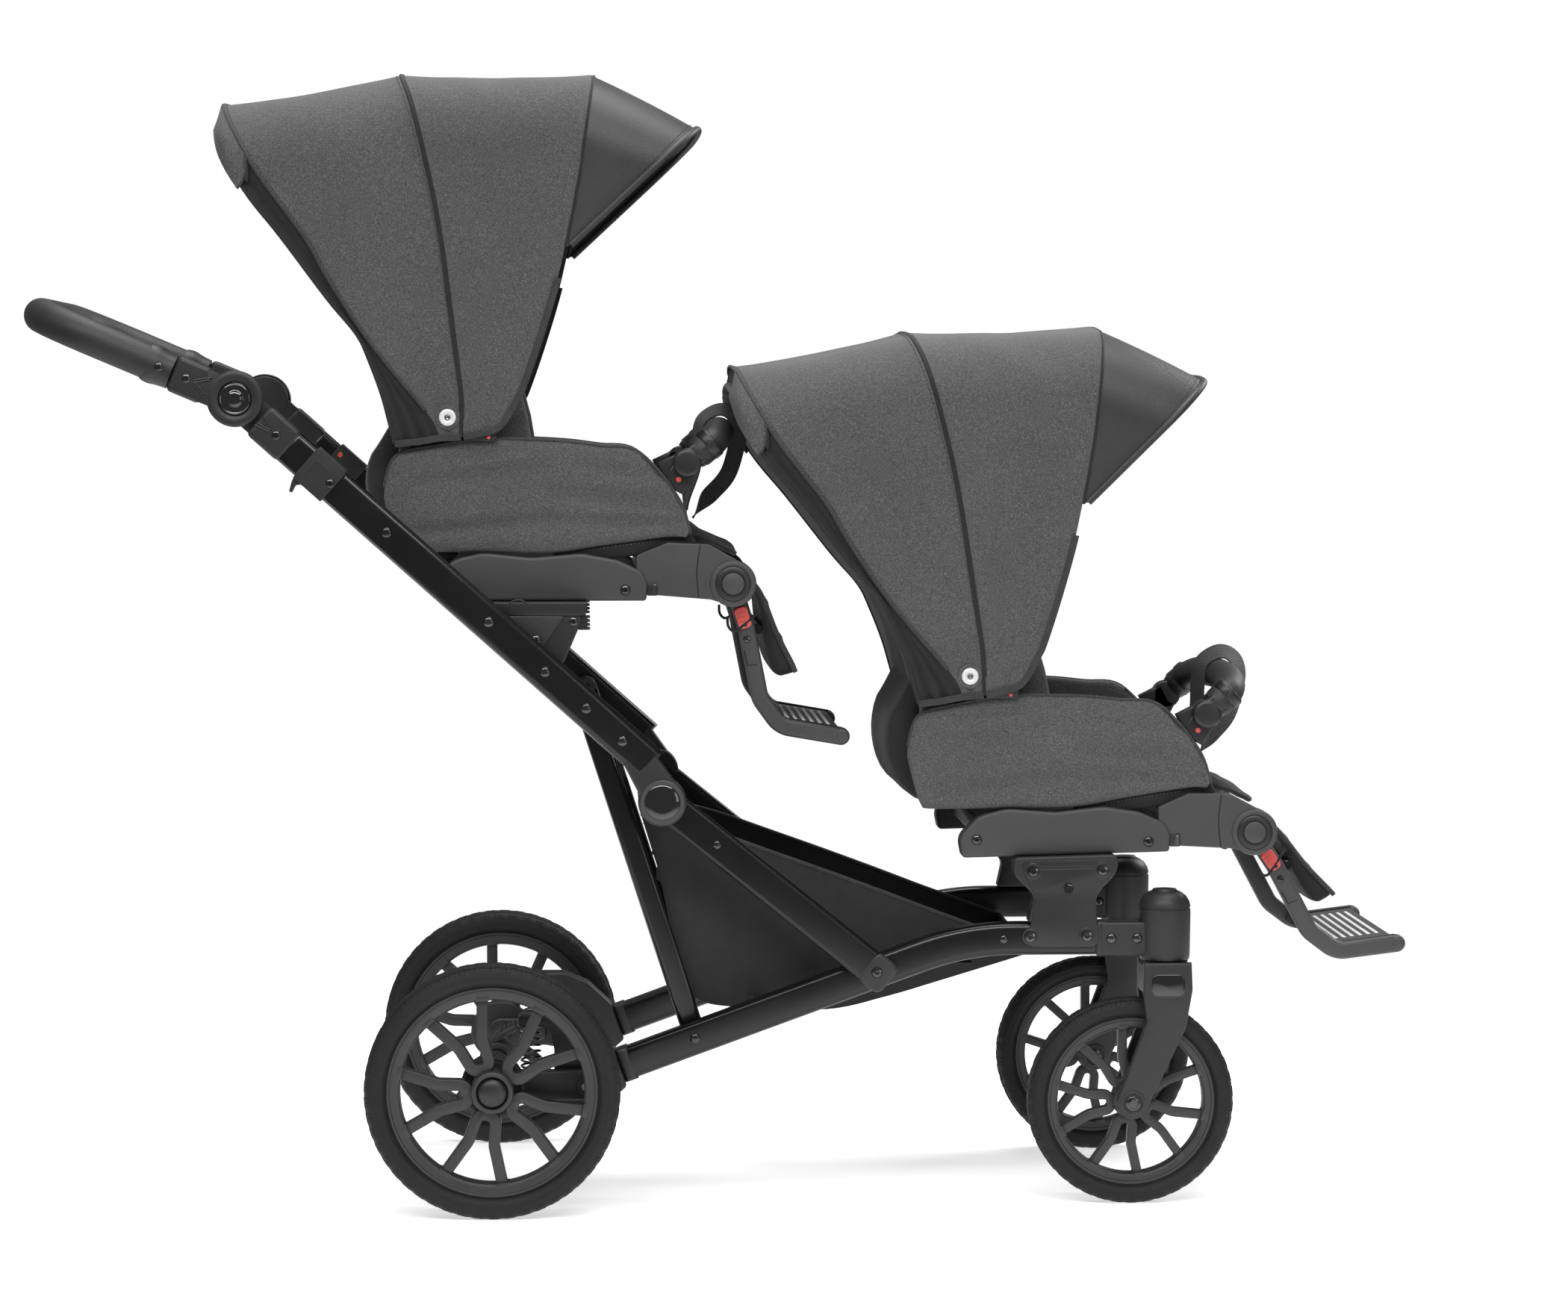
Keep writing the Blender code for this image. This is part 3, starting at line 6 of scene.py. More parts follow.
import bmesh
import bpy
from mathutils import Matrix, Vector, noise


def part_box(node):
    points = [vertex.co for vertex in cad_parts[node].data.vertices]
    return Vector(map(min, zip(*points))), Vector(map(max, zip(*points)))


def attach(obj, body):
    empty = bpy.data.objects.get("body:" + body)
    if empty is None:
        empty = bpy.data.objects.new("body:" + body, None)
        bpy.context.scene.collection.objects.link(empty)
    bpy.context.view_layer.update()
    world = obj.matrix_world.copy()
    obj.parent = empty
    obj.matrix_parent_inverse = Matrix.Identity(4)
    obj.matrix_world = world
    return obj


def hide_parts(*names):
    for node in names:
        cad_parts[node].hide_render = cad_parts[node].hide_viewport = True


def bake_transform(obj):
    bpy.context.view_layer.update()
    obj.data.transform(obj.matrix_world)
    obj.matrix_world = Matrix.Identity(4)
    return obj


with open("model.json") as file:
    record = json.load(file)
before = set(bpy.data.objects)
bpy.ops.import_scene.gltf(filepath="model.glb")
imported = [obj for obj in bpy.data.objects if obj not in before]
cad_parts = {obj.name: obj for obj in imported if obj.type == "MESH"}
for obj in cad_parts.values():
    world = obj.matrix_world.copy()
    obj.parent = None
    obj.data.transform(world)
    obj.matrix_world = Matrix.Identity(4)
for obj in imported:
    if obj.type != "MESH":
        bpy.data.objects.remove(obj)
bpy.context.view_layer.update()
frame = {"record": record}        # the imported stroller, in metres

joints = {joint["name"]: joint for joint in frame["record"]["behaviour"]["joints"]}
sides = (("right", -1), ("left", 1))
bothSides = (-1, 1)


# Places. Side-view points are (x, z), in metres, with x from the rear axle; toRow moves them to the
# frame's origin.

def jointPoint(name):
    x, y, z = joints[name]["pos_m"]
    return Vector((x, y, z))


swingArm = 0.11        # from the rear wheels' axle to the pivot of the sprung axle
axleX = jointPoint("rear_suspension").x - swingArm
toRow = Matrix.Translation((axleX, 0, 0))


def middleOf(node):
    low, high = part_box(node)
    return (Vector(low) + Vector(high)) / 2


def carry(a, b, c, d):        # the side-view move that takes the line a-b to the line c-d
    tilt = math.atan2(d.z - c.z, d.x - c.x) - math.atan2(b.z - a.z, b.x - a.x)
    a, c = Vector((a.x, 0, a.z)), Vector((c.x, 0, c.z))
    return Matrix.Translation(c) @ Matrix.Rotation(-tilt, 4, "Y") @ Matrix.Translation(-a) @ toRow


def seatMatrix(prefix):        # from the drawing of the rear seat to where this seat stands
    return carry(jointPoint("rear_recline"), jointPoint("rear_bumper_swing"),
                 jointPoint(prefix + "_recline"), jointPoint(prefix + "_bumper_swing"))


def footMatrix(prefix):
    return carry(jointPoint("rear_footrest_swing"), middleOf("rear_footrest_button_right"),
                 jointPoint(prefix + "_footrest_swing"), middleOf(prefix + "_footrest_button_right"))


def along(origin, direction, forward, sideways=0.0):
    c, s = math.cos(direction), math.sin(direction)
    return (origin[0] + c * forward - s * sideways, origin[1] + s * forward + c * sideways)


def heading(a, b):
    return math.atan2(b[1] - a[1], b[0] - a[0])


def span(a, b):
    return math.hypot(b[0] - a[0], b[1] - a[1])


def between(a, b, t):
    return tuple(p + (q - p) * t for p, q in zip(a, b))


def smoothStep(t):
    t = min(max(t, 0.0), 1.0)
    return t * t * (3 - 2 * t)


def arc(centre, radius, start, end, count):
    turns = [start + (end - start) * i / count for i in range(count + 1)]
    return [(centre[0] + radius * math.cos(a), centre[1] + radius * math.sin(a)) for a in turns]


def circle(centre, radius, count=48):
    return arc(centre, radius, 0, 2 * math.pi, count)[:-1]


def sampled(read, count, trim=0):        # points at even steps of a path, without the first and last few
    return [read(i / count) for i in range(trim, count + 1 - trim)]


def atWidth(points, y, lift=0.0):        # a side-view line, standing at y
    return [(x, y, z + lift) for x, z in points]


def shifted(points, dx, dy, dz):
    return [(x + dx, y + dy, z + dz) for x, y, z in points]


def turnBetween(before, after):
    return (after - before + math.pi) % (2 * math.pi) - math.pi


def rounded(points, radius, count, closed=True):        # corners rounded, by one radius or one each
    made = []
    last = len(points)
    for i, corner in enumerate(points):
        if not closed and i in (0, last - 1):
            made.append(corner)
            continue
        a, b = points[i - 1], points[(i + 1) % last]
        into, out = heading(a, corner), heading(corner, b)
        turn = turnBetween(into, out)
        size = radius[i] if isinstance(radius, list) else radius
        room = 0.48 * min(span(a, corner), span(corner, b))
        back = min(size * math.tan(abs(turn) / 2), room)
        if abs(turn) < 0.02 or back < 1e-5:
            made.append(corner)
            continue
        true = back / math.tan(abs(turn) / 2)
        side = math.copysign(1, turn)
        centre = along(along(corner, into, -back), into, 0, side * true)
        first = into - side * math.pi / 2
        made += arc(centre, true, first, first + turn, count)
    return made


def ribbon(path, width):        # the outline of a strip around an open path
    left, right = [], []
    for i, point in enumerate(path):
        before = heading(path[max(i - 1, 0)], path[max(i, 1)])
        after = heading(path[min(i, len(path) - 2)], path[min(i + 1, len(path) - 1)])
        turn = turnBetween(before, after)
        reach = width / 2 / math.cos(turn / 2)
        left.append(along(point, before + turn / 2, 0, reach))
        right.append(along(point, before + turn / 2, 0, -reach))
    return left + right[::-1]


def pathOf(points):        # a path read by the share of its length, from 0 to 1
    lengths = [0.0]
    for a, b in zip(points, points[1:]):
        lengths.append(lengths[-1] + math.dist(a, b))

    def read(t):
        distance = min(max(t, 0.0), 1.0) * lengths[-1]
        i = bisect.bisect_left(lengths, distance, 1, len(points) - 1)
        share = (distance - lengths[i - 1]) / (lengths[i] - lengths[i - 1])
        return between(points[i - 1], points[i], share)

    return read


def smoothPath(points, count):        # a smooth curve through points of 2 or 3 numbers
    made = []
    for i in range(len(points) - 1):
        p0, p1 = points[max(i - 1, 0)], points[i]
        p2, p3 = points[i + 1], points[min(i + 2, len(points) - 1)]
        for k in range(count):
            t = k / count
            made.append(tuple(0.5 * (2 * b + (c - a) * t + (2 * a - 5 * b + 4 * c - d) * t * t
                                     + (3 * b - a - 3 * c + d) * t ** 3)
                              for a, b, c, d in zip(p0, p1, p2, p3)))
    return made + [tuple(points[-1])]


# Building meshes

def roundEdges(part, edges, size, segments):
    bmesh.ops.bevel(part, geom=edges, offset=size, segments=segments, profile=0.5, affect="EDGES",
                    material=-1, clamp_overlap=True)


def closeUp(part, gap):        # merged doubles, and faces that point outwards
    bmesh.ops.remove_doubles(part, verts=part.verts, dist=gap)
    bmesh.ops.recalc_face_normals(part, faces=part.faces)


sunk = 0.001        # how far fasteners start under the face that they stand on
threads = {"fine": (0.00036, 0.0026), "short": (0.0004, 0.003), "plain": (0.0004, 0.0032),
           "heavy": (0.0005, 0.0034)}        # radius and length of one stitch


class piece:
    def __init__(self, finish):
        self.bm = bmesh.new()
        self.used = [finish]
        self.index = 0

    def use(self, finish):        # what follows is made of this finish
        if finish not in self.used:
            self.used.append(finish)
        self.index = self.used.index(finish)
        return self

    def take(self, part, matrix=None):        # adds another bmesh to this piece
        if matrix is not None:
            bmesh.ops.transform(part, matrix=matrix, verts=part.verts)
        for face in part.faces:
            face.material_index = self.index
        mesh = bpy.data.meshes.new("part")
        part.to_mesh(mesh)
        part.free()
        self.bm.from_mesh(mesh)
        bpy.data.meshes.remove(mesh)
        return self

    def plate(self, outline, yA, yB, edge, segments):        # an outline pushed from yA to yB
        part = bmesh.new()
        face = part.faces.new([part.verts.new((x, yA, z)) for x, z in outline])
        pushed = bmesh.ops.extrude_face_region(part, geom=[face])["geom"]
        far = [v for v in pushed if isinstance(v, bmesh.types.BMVert)]
        bmesh.ops.translate(part, verts=far, vec=(0, yB - yA, 0))
        rims = [e for e in part.edges if abs(e.verts[0].co.y - e.verts[1].co.y) < 1e-6]
        roundEdges(part, rims, edge, segments)
        bmesh.ops.recalc_face_normals(part, faces=part.faces)
        return self.take(part)

    def turn(self, origin, profile, axis=(0, 1, 0), steps=32, closed=False, shape=None):
        part = bmesh.new()        # a profile of (radius, height), spun round the axis
        direction = Vector(axis).normalized()
        arm = direction.orthogonal().normalized()
        centre = Vector(origin)
        verts = [part.verts.new(centre + arm * r + direction * h) for r, h in profile]
        ring = list(zip(verts, verts[1:])) + ([(verts[-1], verts[0])] if closed else [])
        edges = [part.edges.new(pair) for pair in ring]
        bmesh.ops.spin(part, geom=verts + edges, cent=centre, axis=direction, angle=2 * math.pi,
                       steps=steps, use_merge=True)
        closeUp(part, 1e-6)
        if shape:
            shape(part)
        return self.take(part)

    def rod(self, point, radius, yA, yB, steps=32, edge=0.0008):
        low, high = min(yA, yB), max(yA, yB)
        edge = min(edge, radius * 0.4, (high - low) * 0.4)
        profile = [(0, low), (radius - edge, low), (radius, low + edge), (radius, high - edge),
                   (radius - edge, high), (0, high)]
        return self.turn((point[0], 0, point[1]), profile, steps=steps)

    def post(self, x, y, profile, steps):        # turned round an upright axis; heights are z
        return self.turn((x, y, 0), profile, axis=(0, 0, 1), steps=steps)

    def disc(self, point, face, side, profile, steps=32):        # turned trim on a face; heights point out
        return self.turn((point[0], side * face, point[1]), profile, axis=(0, side, 0), steps=steps)

    def bolt(self, point, face, side, radius, height):
        dome = [(0, -sunk), (radius, -sunk), (radius, height * 0.35), (radius * 0.86, height * 0.78),
                (radius * 0.45, height), (radius * 0.38, height * 0.55), (0, height * 0.5)]
        return self.disc(point, face, side, dome, 20)

    def rivet(self, point, face, side, radius, height):
        dome = [(0, -sunk), (radius, -sunk), (radius, height * 0.2), (radius * 0.9, height * 0.55),
                (radius * 0.6, height * 0.9), (0, height)]
        return self.disc(point, face, side, dome, 24)

    def screw(self, point, face, side, radius):        # a crosshead screw; where a caller sets a dark recess round it, that recess is a flat disc of painted shade
        height = 0.0016
        self.bolt(point, face, side, radius, height)
        y = side * (face + height)
        for turn in (0.6, 0.6 + math.pi / 2):
            self.box((point[0], y, point[1]), (radius * 1.2, 0.0006, radius * 0.26), 0.0001, 1, turn)
        return self

    def hexBolt(self, point, face, side, radius, height):
        head = [(0, -sunk), (radius, -sunk), (radius, height * 0.8), (radius * 0.86, height), (0, height)]
        return self.disc(point, face, side, head, 6)

    def tube(self, points, radius, sides, widths=None, closed=False):
        guide = bpy.data.curves.new("guide", "CURVE")
        guide.dimensions = "3D"
        guide.bevel_resolution = (sides - 4) // 2
        guide.bevel_depth = radius
        guide.use_fill_caps = not closed
        line = guide.splines.new("POLY")
        line.points.add(len(points) - 1)
        for i, (knot, point) in enumerate(zip(line.points, points)):
            knot.co = (*point, 1)
            knot.radius = widths[i] if widths else 1.0
        line.use_cyclic_u = closed
        holder = bpy.data.objects.new("guide", guide)
        bpy.context.scene.collection.objects.link(holder)
        seen = holder.evaluated_get(bpy.context.evaluated_depsgraph_get())
        part = bmesh.new()
        part.from_mesh(seen.to_mesh())
        bpy.data.objects.remove(holder, do_unlink=True)
        closeUp(part, 1e-6)
        return self.take(part)

    def box(self, centre, size, edge, segments, turn=0.0):
        part = bmesh.new()
        bmesh.ops.create_cube(part, size=1.0)
        bmesh.ops.scale(part, vec=size, verts=part.verts)
        roundEdges(part, part.edges[:], edge, segments)
        return self.take(part, Matrix.Translation(centre) @ Matrix.Rotation(-turn, 4, "Y"))

    def surface(self, across, down, place, thick=0.0, closed=False):
        part = bmesh.new()        # a grid bent to place(u, v)
        bmesh.ops.create_grid(part, x_segments=across, y_segments=down, size=0.5)
        for vert in part.verts:
            vert.co = Vector(place(vert.co.x + 0.5, vert.co.y + 0.5))
        if closed:
            closeUp(part, 1e-5)
        if thick:
            bmesh.ops.remove_doubles(part, verts=part.verts, dist=1e-6)
            part.normal_update()
            bmesh.ops.solidify(part, geom=part.faces[:], thickness=thick)
            bmesh.ops.recalc_face_normals(part, faces=part.faces)
        return self.take(part)

    def pad(self, bottom, top, yIn, yOut, grid, square, ends, relief):
        # a crowned closed form between two side-view paths and two sides: a smaller square makes its
        # section boxier, larger ends make its ends fuller, and relief moves its points
        low, high = pathOf(bottom), pathOf(top)
        middle, half, tall = (yIn + yOut) / 2, (yOut - yIn) / 2, span(low(0.5), high(0.5)) / 2
        ring = pathOf([(half * math.copysign(abs(c) ** square, c), tall * math.copysign(abs(s) ** square, s))
                       for c, s in arc((0, 0), 1, 0, 2 * math.pi, 720)])        # even steps around it

        def place(u, v):
            closing = max(1 - abs(2 * u - 1) ** ends, 0) ** (1 / ends)
            c, s = ring(v)[0] / half, ring(v)[1] / tall
            x, z = between(low(u), high(u), 0.5 + 0.5 * s * (0.55 + 0.45 * closing))
            y = middle + half * c * closing
            return relief(x, y, z, u)

        return self.surface(*grid, place, closed=True)

    def stitches(self, points, thread, step):        # sewn thread along a path
        radius, length = threads[thread]
        run = pathOf(points)
        total = sum((Vector(b) - Vector(a)).length for a, b in zip(points, points[1:]))
        count = int(total / step)
        for i in range(count):
            start = (i + 0.1) * step / total
            self.tube([Vector(run(start)), Vector(run(start + length / total))], radius, 4)
        return self

    def done(self, name, body, move=None, smooth=40, stands=()):
        mesh = bpy.data.meshes.new(name)
        self.bm.to_mesh(mesh)
        self.bm.free()
        obj = bpy.data.objects.new(name, mesh)
        bpy.context.scene.collection.objects.link(obj)
        mesh.transform(toRow if move is None else move)
        for finish in self.used:
            mesh.materials.append(finishes[finish])
        mesh.shade_smooth()
        mesh.set_sharp_from_angle(angle=math.radians(smooth))
        if body:
            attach(obj, body)
        if stands:
            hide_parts(*stands)
        return obj


# Shader maths

class value:
    def __init__(self, look, socket):
        self.look = look
        self.socket = socket

    def sums(self, operation, a, b):
        return self.look.node("ShaderNodeMath", {"operation": operation}, {0: a, 1: b})

    def __add__(self, other):
        return self.sums("ADD", self, other)

    __radd__ = __add__

    def __sub__(self, other):
        return self.sums("SUBTRACT", self, other)

    def __rsub__(self, other):
        return self.sums("SUBTRACT", other, self)

    def __mul__(self, other):
        return self.sums("MULTIPLY", self, other)

    __rmul__ = __mul__

    def __truediv__(self, other):
        return self.sums("DIVIDE", self, other)


class look:
    def __init__(self, name, settings):
        self.material = bpy.data.materials.new(name)
        self.material.use_nodes = True
        self.tree = self.material.node_tree
        self.shader = self.tree.nodes["Principled BSDF"]
        for key, amount in settings.items():
            self.shader.inputs[key].default_value = amount

    def node(self, kind, settings=None, inputs=None, output=0):
        made = self.tree.nodes.new(kind)
        for key, setting in (settings or {}).items():
            if key == "stops":
                ramp = made.color_ramp
                while len(ramp.elements) < len(setting):
                    ramp.elements.new(1.0)
                for stop, (position, shade) in zip(ramp.elements, setting):
                    stop.position = position
                    stop.color = (*shade, 1.0) if isinstance(shade, tuple) else (shade, shade, shade, 1.0)
            else:
                setattr(made, key, setting)
        for key, given in (inputs or {}).items():
            if isinstance(given, value):
                self.tree.links.new(given.socket, made.inputs[key])
            else:
                made.inputs[key].default_value = given
        return value(self, made.outputs[output])

    def place(self, scale=(1, 1, 1)):
        where = self.node("ShaderNodeTexCoord", output="Object")
        return self.node("ShaderNodeMapping", {}, {"Vector": where, "Scale": scale})

    def noise(self, where, scale, detail=2.0, rough=0.5):
        return self.node("ShaderNodeTexNoise", {}, {"Vector": where, "Scale": scale, "Detail": detail,
                                                   "Roughness": rough})

    def ramp(self, fac, stops):
        return self.node("ShaderNodeValToRGB", {"stops": stops}, {"Fac": fac})

    def wave(self, where, scale, direction):
        return self.node("ShaderNodeTexWave", {"bands_direction": direction},
                         {"Vector": where, "Scale": scale})

    def bump(self, height, strength, distance):
        return self.node("ShaderNodeBump", {}, {"Height": height, "Strength": strength, "Distance": distance})

    def set(self, key, given):
        self.tree.links.new(given.socket, self.shader.inputs[key])


# Finishes

def hardFinish(name, colours, rough, grain, depth, settings):        # plastics, paint, rubber and metal
    made = look(name, settings)
    cloud = made.noise(made.place(), 14.0, 4.0)
    fine = made.noise(made.place(), grain, 2.0)
    made.set("Base Color", made.ramp(cloud, [(0.3, colours[0]), (0.7, colours[1])]))
    made.set("Roughness", cloud * (rough[1] - rough[0]) + fine * 0.04 + rough[0])
    made.set("Normal", made.bump(fine, 0.35, depth))
    return made.material


def melangeFinish(name, dark, mid, pale, settings):        # heathered cloth: threads of uneven shade
    yarn, weave = 1500.0, 260.0        # how many to a metre, roughly
    made = look(name, settings)
    upright = made.noise(made.place((1.0, 1.0, 0.3)), yarn, 2.0, 0.6)
    level = made.noise(made.place((0.3, 0.7, 1.0)), yarn, 2.0, 0.6)
    blotch = made.noise(made.place(), 420.0, 2.0, 0.5)
    soft = made.noise(made.place(), 9.0, 2.0)
    mixed = upright * 0.5 + level * 0.5 + (blotch - 0.5) * 0.1 + (soft - 0.5) * 0.07
    made.set("Base Color", made.ramp(mixed, [(0.34, dark), (0.5, mid), (0.66, pale)]))
    warp = made.wave(made.place(), weave, "X")
    weft = made.wave(made.place(), weave, "Z")
    made.set("Normal", made.bump(warp * weft + mixed, 0.45, 0.0005))
    return made.material


def clothFinish(name, dark, pale, thread, depth, settings):        # plain woven cloth, webbing and tape
    made = look(name, settings)
    cloud = made.noise(made.place(), 60.0, 4.0, 0.65)
    fine = made.noise(made.place(), 1400.0, 2.0)
    made.set("Base Color", made.ramp(cloud * 0.6 + fine * 0.4, [(0.35, dark), (0.65, pale)]))
    warp = made.wave(made.place(), thread, "X")
    weft = made.wave(made.place(), thread, "Z")
    made.set("Normal", made.bump(warp * 0.5 + weft * 0.5 + fine * 0.4, 0.5, depth))
    return made.material


def leatherFinish(name, dark, pale, rough, settings):
    made = look(name, settings)
    cells = made.node("ShaderNodeTexVoronoi", {"feature": "F1"}, {"Vector": made.place(), "Scale": 620.0})
    cloud = made.noise(made.place(), 22.0, 4.0)
    made.set("Base Color", made.ramp(cloud, [(0.3, dark), (0.7, pale)]))
    made.set("Roughness", cloud * 0.1 + rough)
    made.set("Normal", made.bump(cells * 0.8 + made.noise(made.place(), 90.0, 3.0) * 0.3, 0.3, 0.0006))
    return made.material


finishes = {
    "paint": hardFinish("satinPaint", (0.0035, 0.006), (0.2, 0.27), 700.0, 0.00005,
                        {"Specular IOR Level": 0.42}),
    "plastic": hardFinish("mattePlastic", (0.018, 0.024), (0.4, 0.5), 1500.0, 0.00012,
                          {"Specular IOR Level": 0.42}),
    "darkPlastic": hardFinish("darkPlastic", (0.01, 0.014), (0.34, 0.46), 1500.0, 0.0001, {}),
    "coverPlastic": hardFinish("coverPlastic", (0.04, 0.048), (0.46, 0.56), 1500.0, 0.00014, {}),
    "rim": hardFinish("rimPlastic", (0.022, 0.028), (0.38, 0.48), 1300.0, 0.0001, {}),
    "rubber": hardFinish("tyreRubber", (0.007, 0.011), (0.56, 0.68), 420.0, 0.00018,
                         {"Specular IOR Level": 0.32}),
    "softBlack": hardFinish("innerRubber", (0.006, 0.01), (0.6, 0.7), 600.0, 0.0001, {}),
    "gloss": hardFinish("glossBlack", (0.008, 0.01), (0.05, 0.08), 60.0, 0.00001,
                        {"Coat Weight": 0.6, "Coat Roughness": 0.03}),
    "steel": hardFinish("springSteel", (0.16, 0.24), (0.22, 0.3), 500.0, 0.00004, {"Metallic": 1.0}),
    "rivet": hardFinish("rivetSteel", (0.05, 0.09), (0.12, 0.2), 500.0, 0.00002, {"Metallic": 0.9}),
    "bright": hardFinish("brightCap", (0.7, 0.76), (0.26, 0.34), 500.0, 0.00002, {"Metallic": 0.1}),
    "coral": hardFinish("coralPlastic", ((0.6, 0.07, 0.065), (0.74, 0.11, 0.095)), (0.34, 0.42), 900.0,
                        0.00006, {}),
    "reflector": hardFinish("reflectorBand", (0.66, 0.72), (0.32, 0.4), 1200.0, 0.00006, {}),
    "melange": melangeFinish("melangeCloth", 0.027, 0.067, 0.152,
                             {"Roughness": 0.92, "Sheen Weight": 0.15, "Sheen Roughness": 0.5}),
    "darkMelange": melangeFinish("darkMelange", 0.014, 0.034, 0.085,
                                 {"Roughness": 0.94, "Sheen Weight": 0.1}),
    "cloth": clothFinish("blackCloth", 0.007, 0.016, 420.0, 0.0005,
                         {"Roughness": 0.9, "Sheen Weight": 0.12, "Sheen Roughness": 0.5}),
    "tape": clothFinish("ribbedTape", 0.022, 0.04, 190.0, 0.0012, {"Roughness": 0.85, "Sheen Weight": 0.15}),
    "oxford": clothFinish("basketCloth", 0.008, 0.014, 340.0, 0.0006, {"Roughness": 0.72}),
    "mesh": clothFinish("greyMesh", 0.12, 0.22, 150.0, 0.0015, {"Roughness": 0.8}),
    "leather": leatherFinish("leatherette", 0.026, 0.034, 0.44, {"Specular IOR Level": 0.45}),
    "grip": leatherFinish("gripLeather", 0.017, 0.024, 0.5, {"Specular IOR Level": 0.45}),
}

print("finishes made:", len(finishes))


# Studio

cameraSet = {"place": (0.1122, -5.4898, 0.9422), "yaw": 0.044, "down": 0.0541, "lens": 102.7,
             "sensor": 36, "far": 200}
lightSet = [("key", (-0.4, -3.6, 3.9), (6.0, 0.9), 200),        # name, place, size, power
            ("top", (0.4, 0.4, 5.2), (4.5, 3.0), 260),
            ("rim", (3.6, 2.6, 3.0), (2.2, 2.2), 110),
            ("low", (3.0, -5.0, 1.2), (1.2, 2.0), 22)]
lightAim = (0.1, 0, 0.6)
floorSet = {"shine": 0.58, "clear": 1.15, "fade": 2.3, "fill": 0.2}


def studio():
    camera = bpy.data.objects.new("camera", bpy.data.cameras.new("camera"))
    camera.data.lens = cameraSet["lens"]
    camera.data.sensor_width = cameraSet["sensor"]
    camera.data.clip_end = cameraSet["far"]
    camera.location = toRow @ Vector(cameraSet["place"])
    camera.rotation_euler = (math.pi / 2 - cameraSet["down"], 0, -cameraSet["yaw"])
    bpy.context.scene.collection.objects.link(camera)
    bpy.context.scene.camera = camera
    for name, place, size, power in lightSet:
        lamp = bpy.data.objects.new(name, bpy.data.lights.new(name, "AREA"))
        lamp.data.shape = "RECTANGLE"
        lamp.data.size, lamp.data.size_y = size
        lamp.data.energy = power
        lamp.location = place
        lamp.rotation_euler = (Vector(lightAim) - Vector(place)).to_track_quat("-Z", "Y").to_euler()
        bpy.context.scene.collection.objects.link(lamp)
    world = bpy.data.worlds.new("studio")
    bpy.context.scene.world = world
    world.use_nodes = True
    tree = world.node_tree
    path = tree.nodes.new("ShaderNodeLightPath")
    seen = tree.nodes.new("ShaderNodeMapRange")
    seen.inputs["To Min"].default_value = floorSet["fill"]
    seen.inputs["To Max"].default_value = 1.0
    tree.links.new(path.outputs["Is Camera Ray"], seen.inputs["Value"])
    tree.nodes["Background"].inputs["Color"].default_value = (1, 1, 1, 1)
    tree.links.new(seen.outputs["Result"], tree.nodes["Background"].inputs["Strength"])
    bpy.context.scene.view_settings.view_transform = "Standard"

    part = bmesh.new()
    bmesh.ops.create_grid(part, x_segments=1, y_segments=1, size=floorSet["fade"])
    mesh = bpy.data.meshes.new("floor")
    part.to_mesh(mesh)
    part.free()
    floor = bpy.data.objects.new("floor", mesh)
    bpy.context.scene.collection.objects.link(floor)
    pale = look("paleFloor", {"Base Color": (0.8, 0.8, 0.8, 1), "Roughness": 1.0,
                              "Specular IOR Level": 0.0, "Emission Color": (1, 1, 1, 1),
                              "Emission Strength": floorSet["shine"]})
    reach = pale.node("ShaderNodeVectorMath", {"operation": "LENGTH"}, {0: pale.place()}, "Value")
    edge = floorSet["clear"] / floorSet["fade"]
    pale.set("Alpha", pale.ramp(reach / floorSet["fade"], [(edge, 1.0), (1.0, 0.0)]))
    mesh.materials.append(pale.material)


studio()
print("studio ready")


# Wheels

rearAxle = (0.0, 0.15)
wheelShapes = {
    "rear": {"x": 0.0, "radius": 0.15, "middle": 0.277, "width": 0.045, "rim": 0.1245, "depth": 0.0168,
             "rimWidth": 0.032, "hub": 0.025, "hubFace": 0.2545, "button": 0.293, "steps": 150},
    "front": {"x": 0.7587, "radius": 0.123, "middle": 0.2, "width": 0.04, "rim": 0.101, "depth": 0.014,
              "rimWidth": 0.028, "hub": 0.0215, "steps": 126},
}
spoke = {"pairs": 5, "first": math.radians(42), "bend": 0.012, "bendCentre": 0.0395, "kink": (0.062, 0.015),
         "foot": math.radians(18.3), "width": 0.0134, "depth": 0.02, "edge": 0.0018,
         "step": (0.007, 0.003, 0.0165)}
tread = {"ribs": 3, "ribPitch": 0.0024, "ribRise": 0.0003, "blockRise": 0.0005, "blockEdge": 0.0006,
         "crown": (0.24, 0.53), "shoulder": (0.67, 0.95), "nubs": 26, "nubLength": 0.0028,
         "nubRadius": 0.00028}


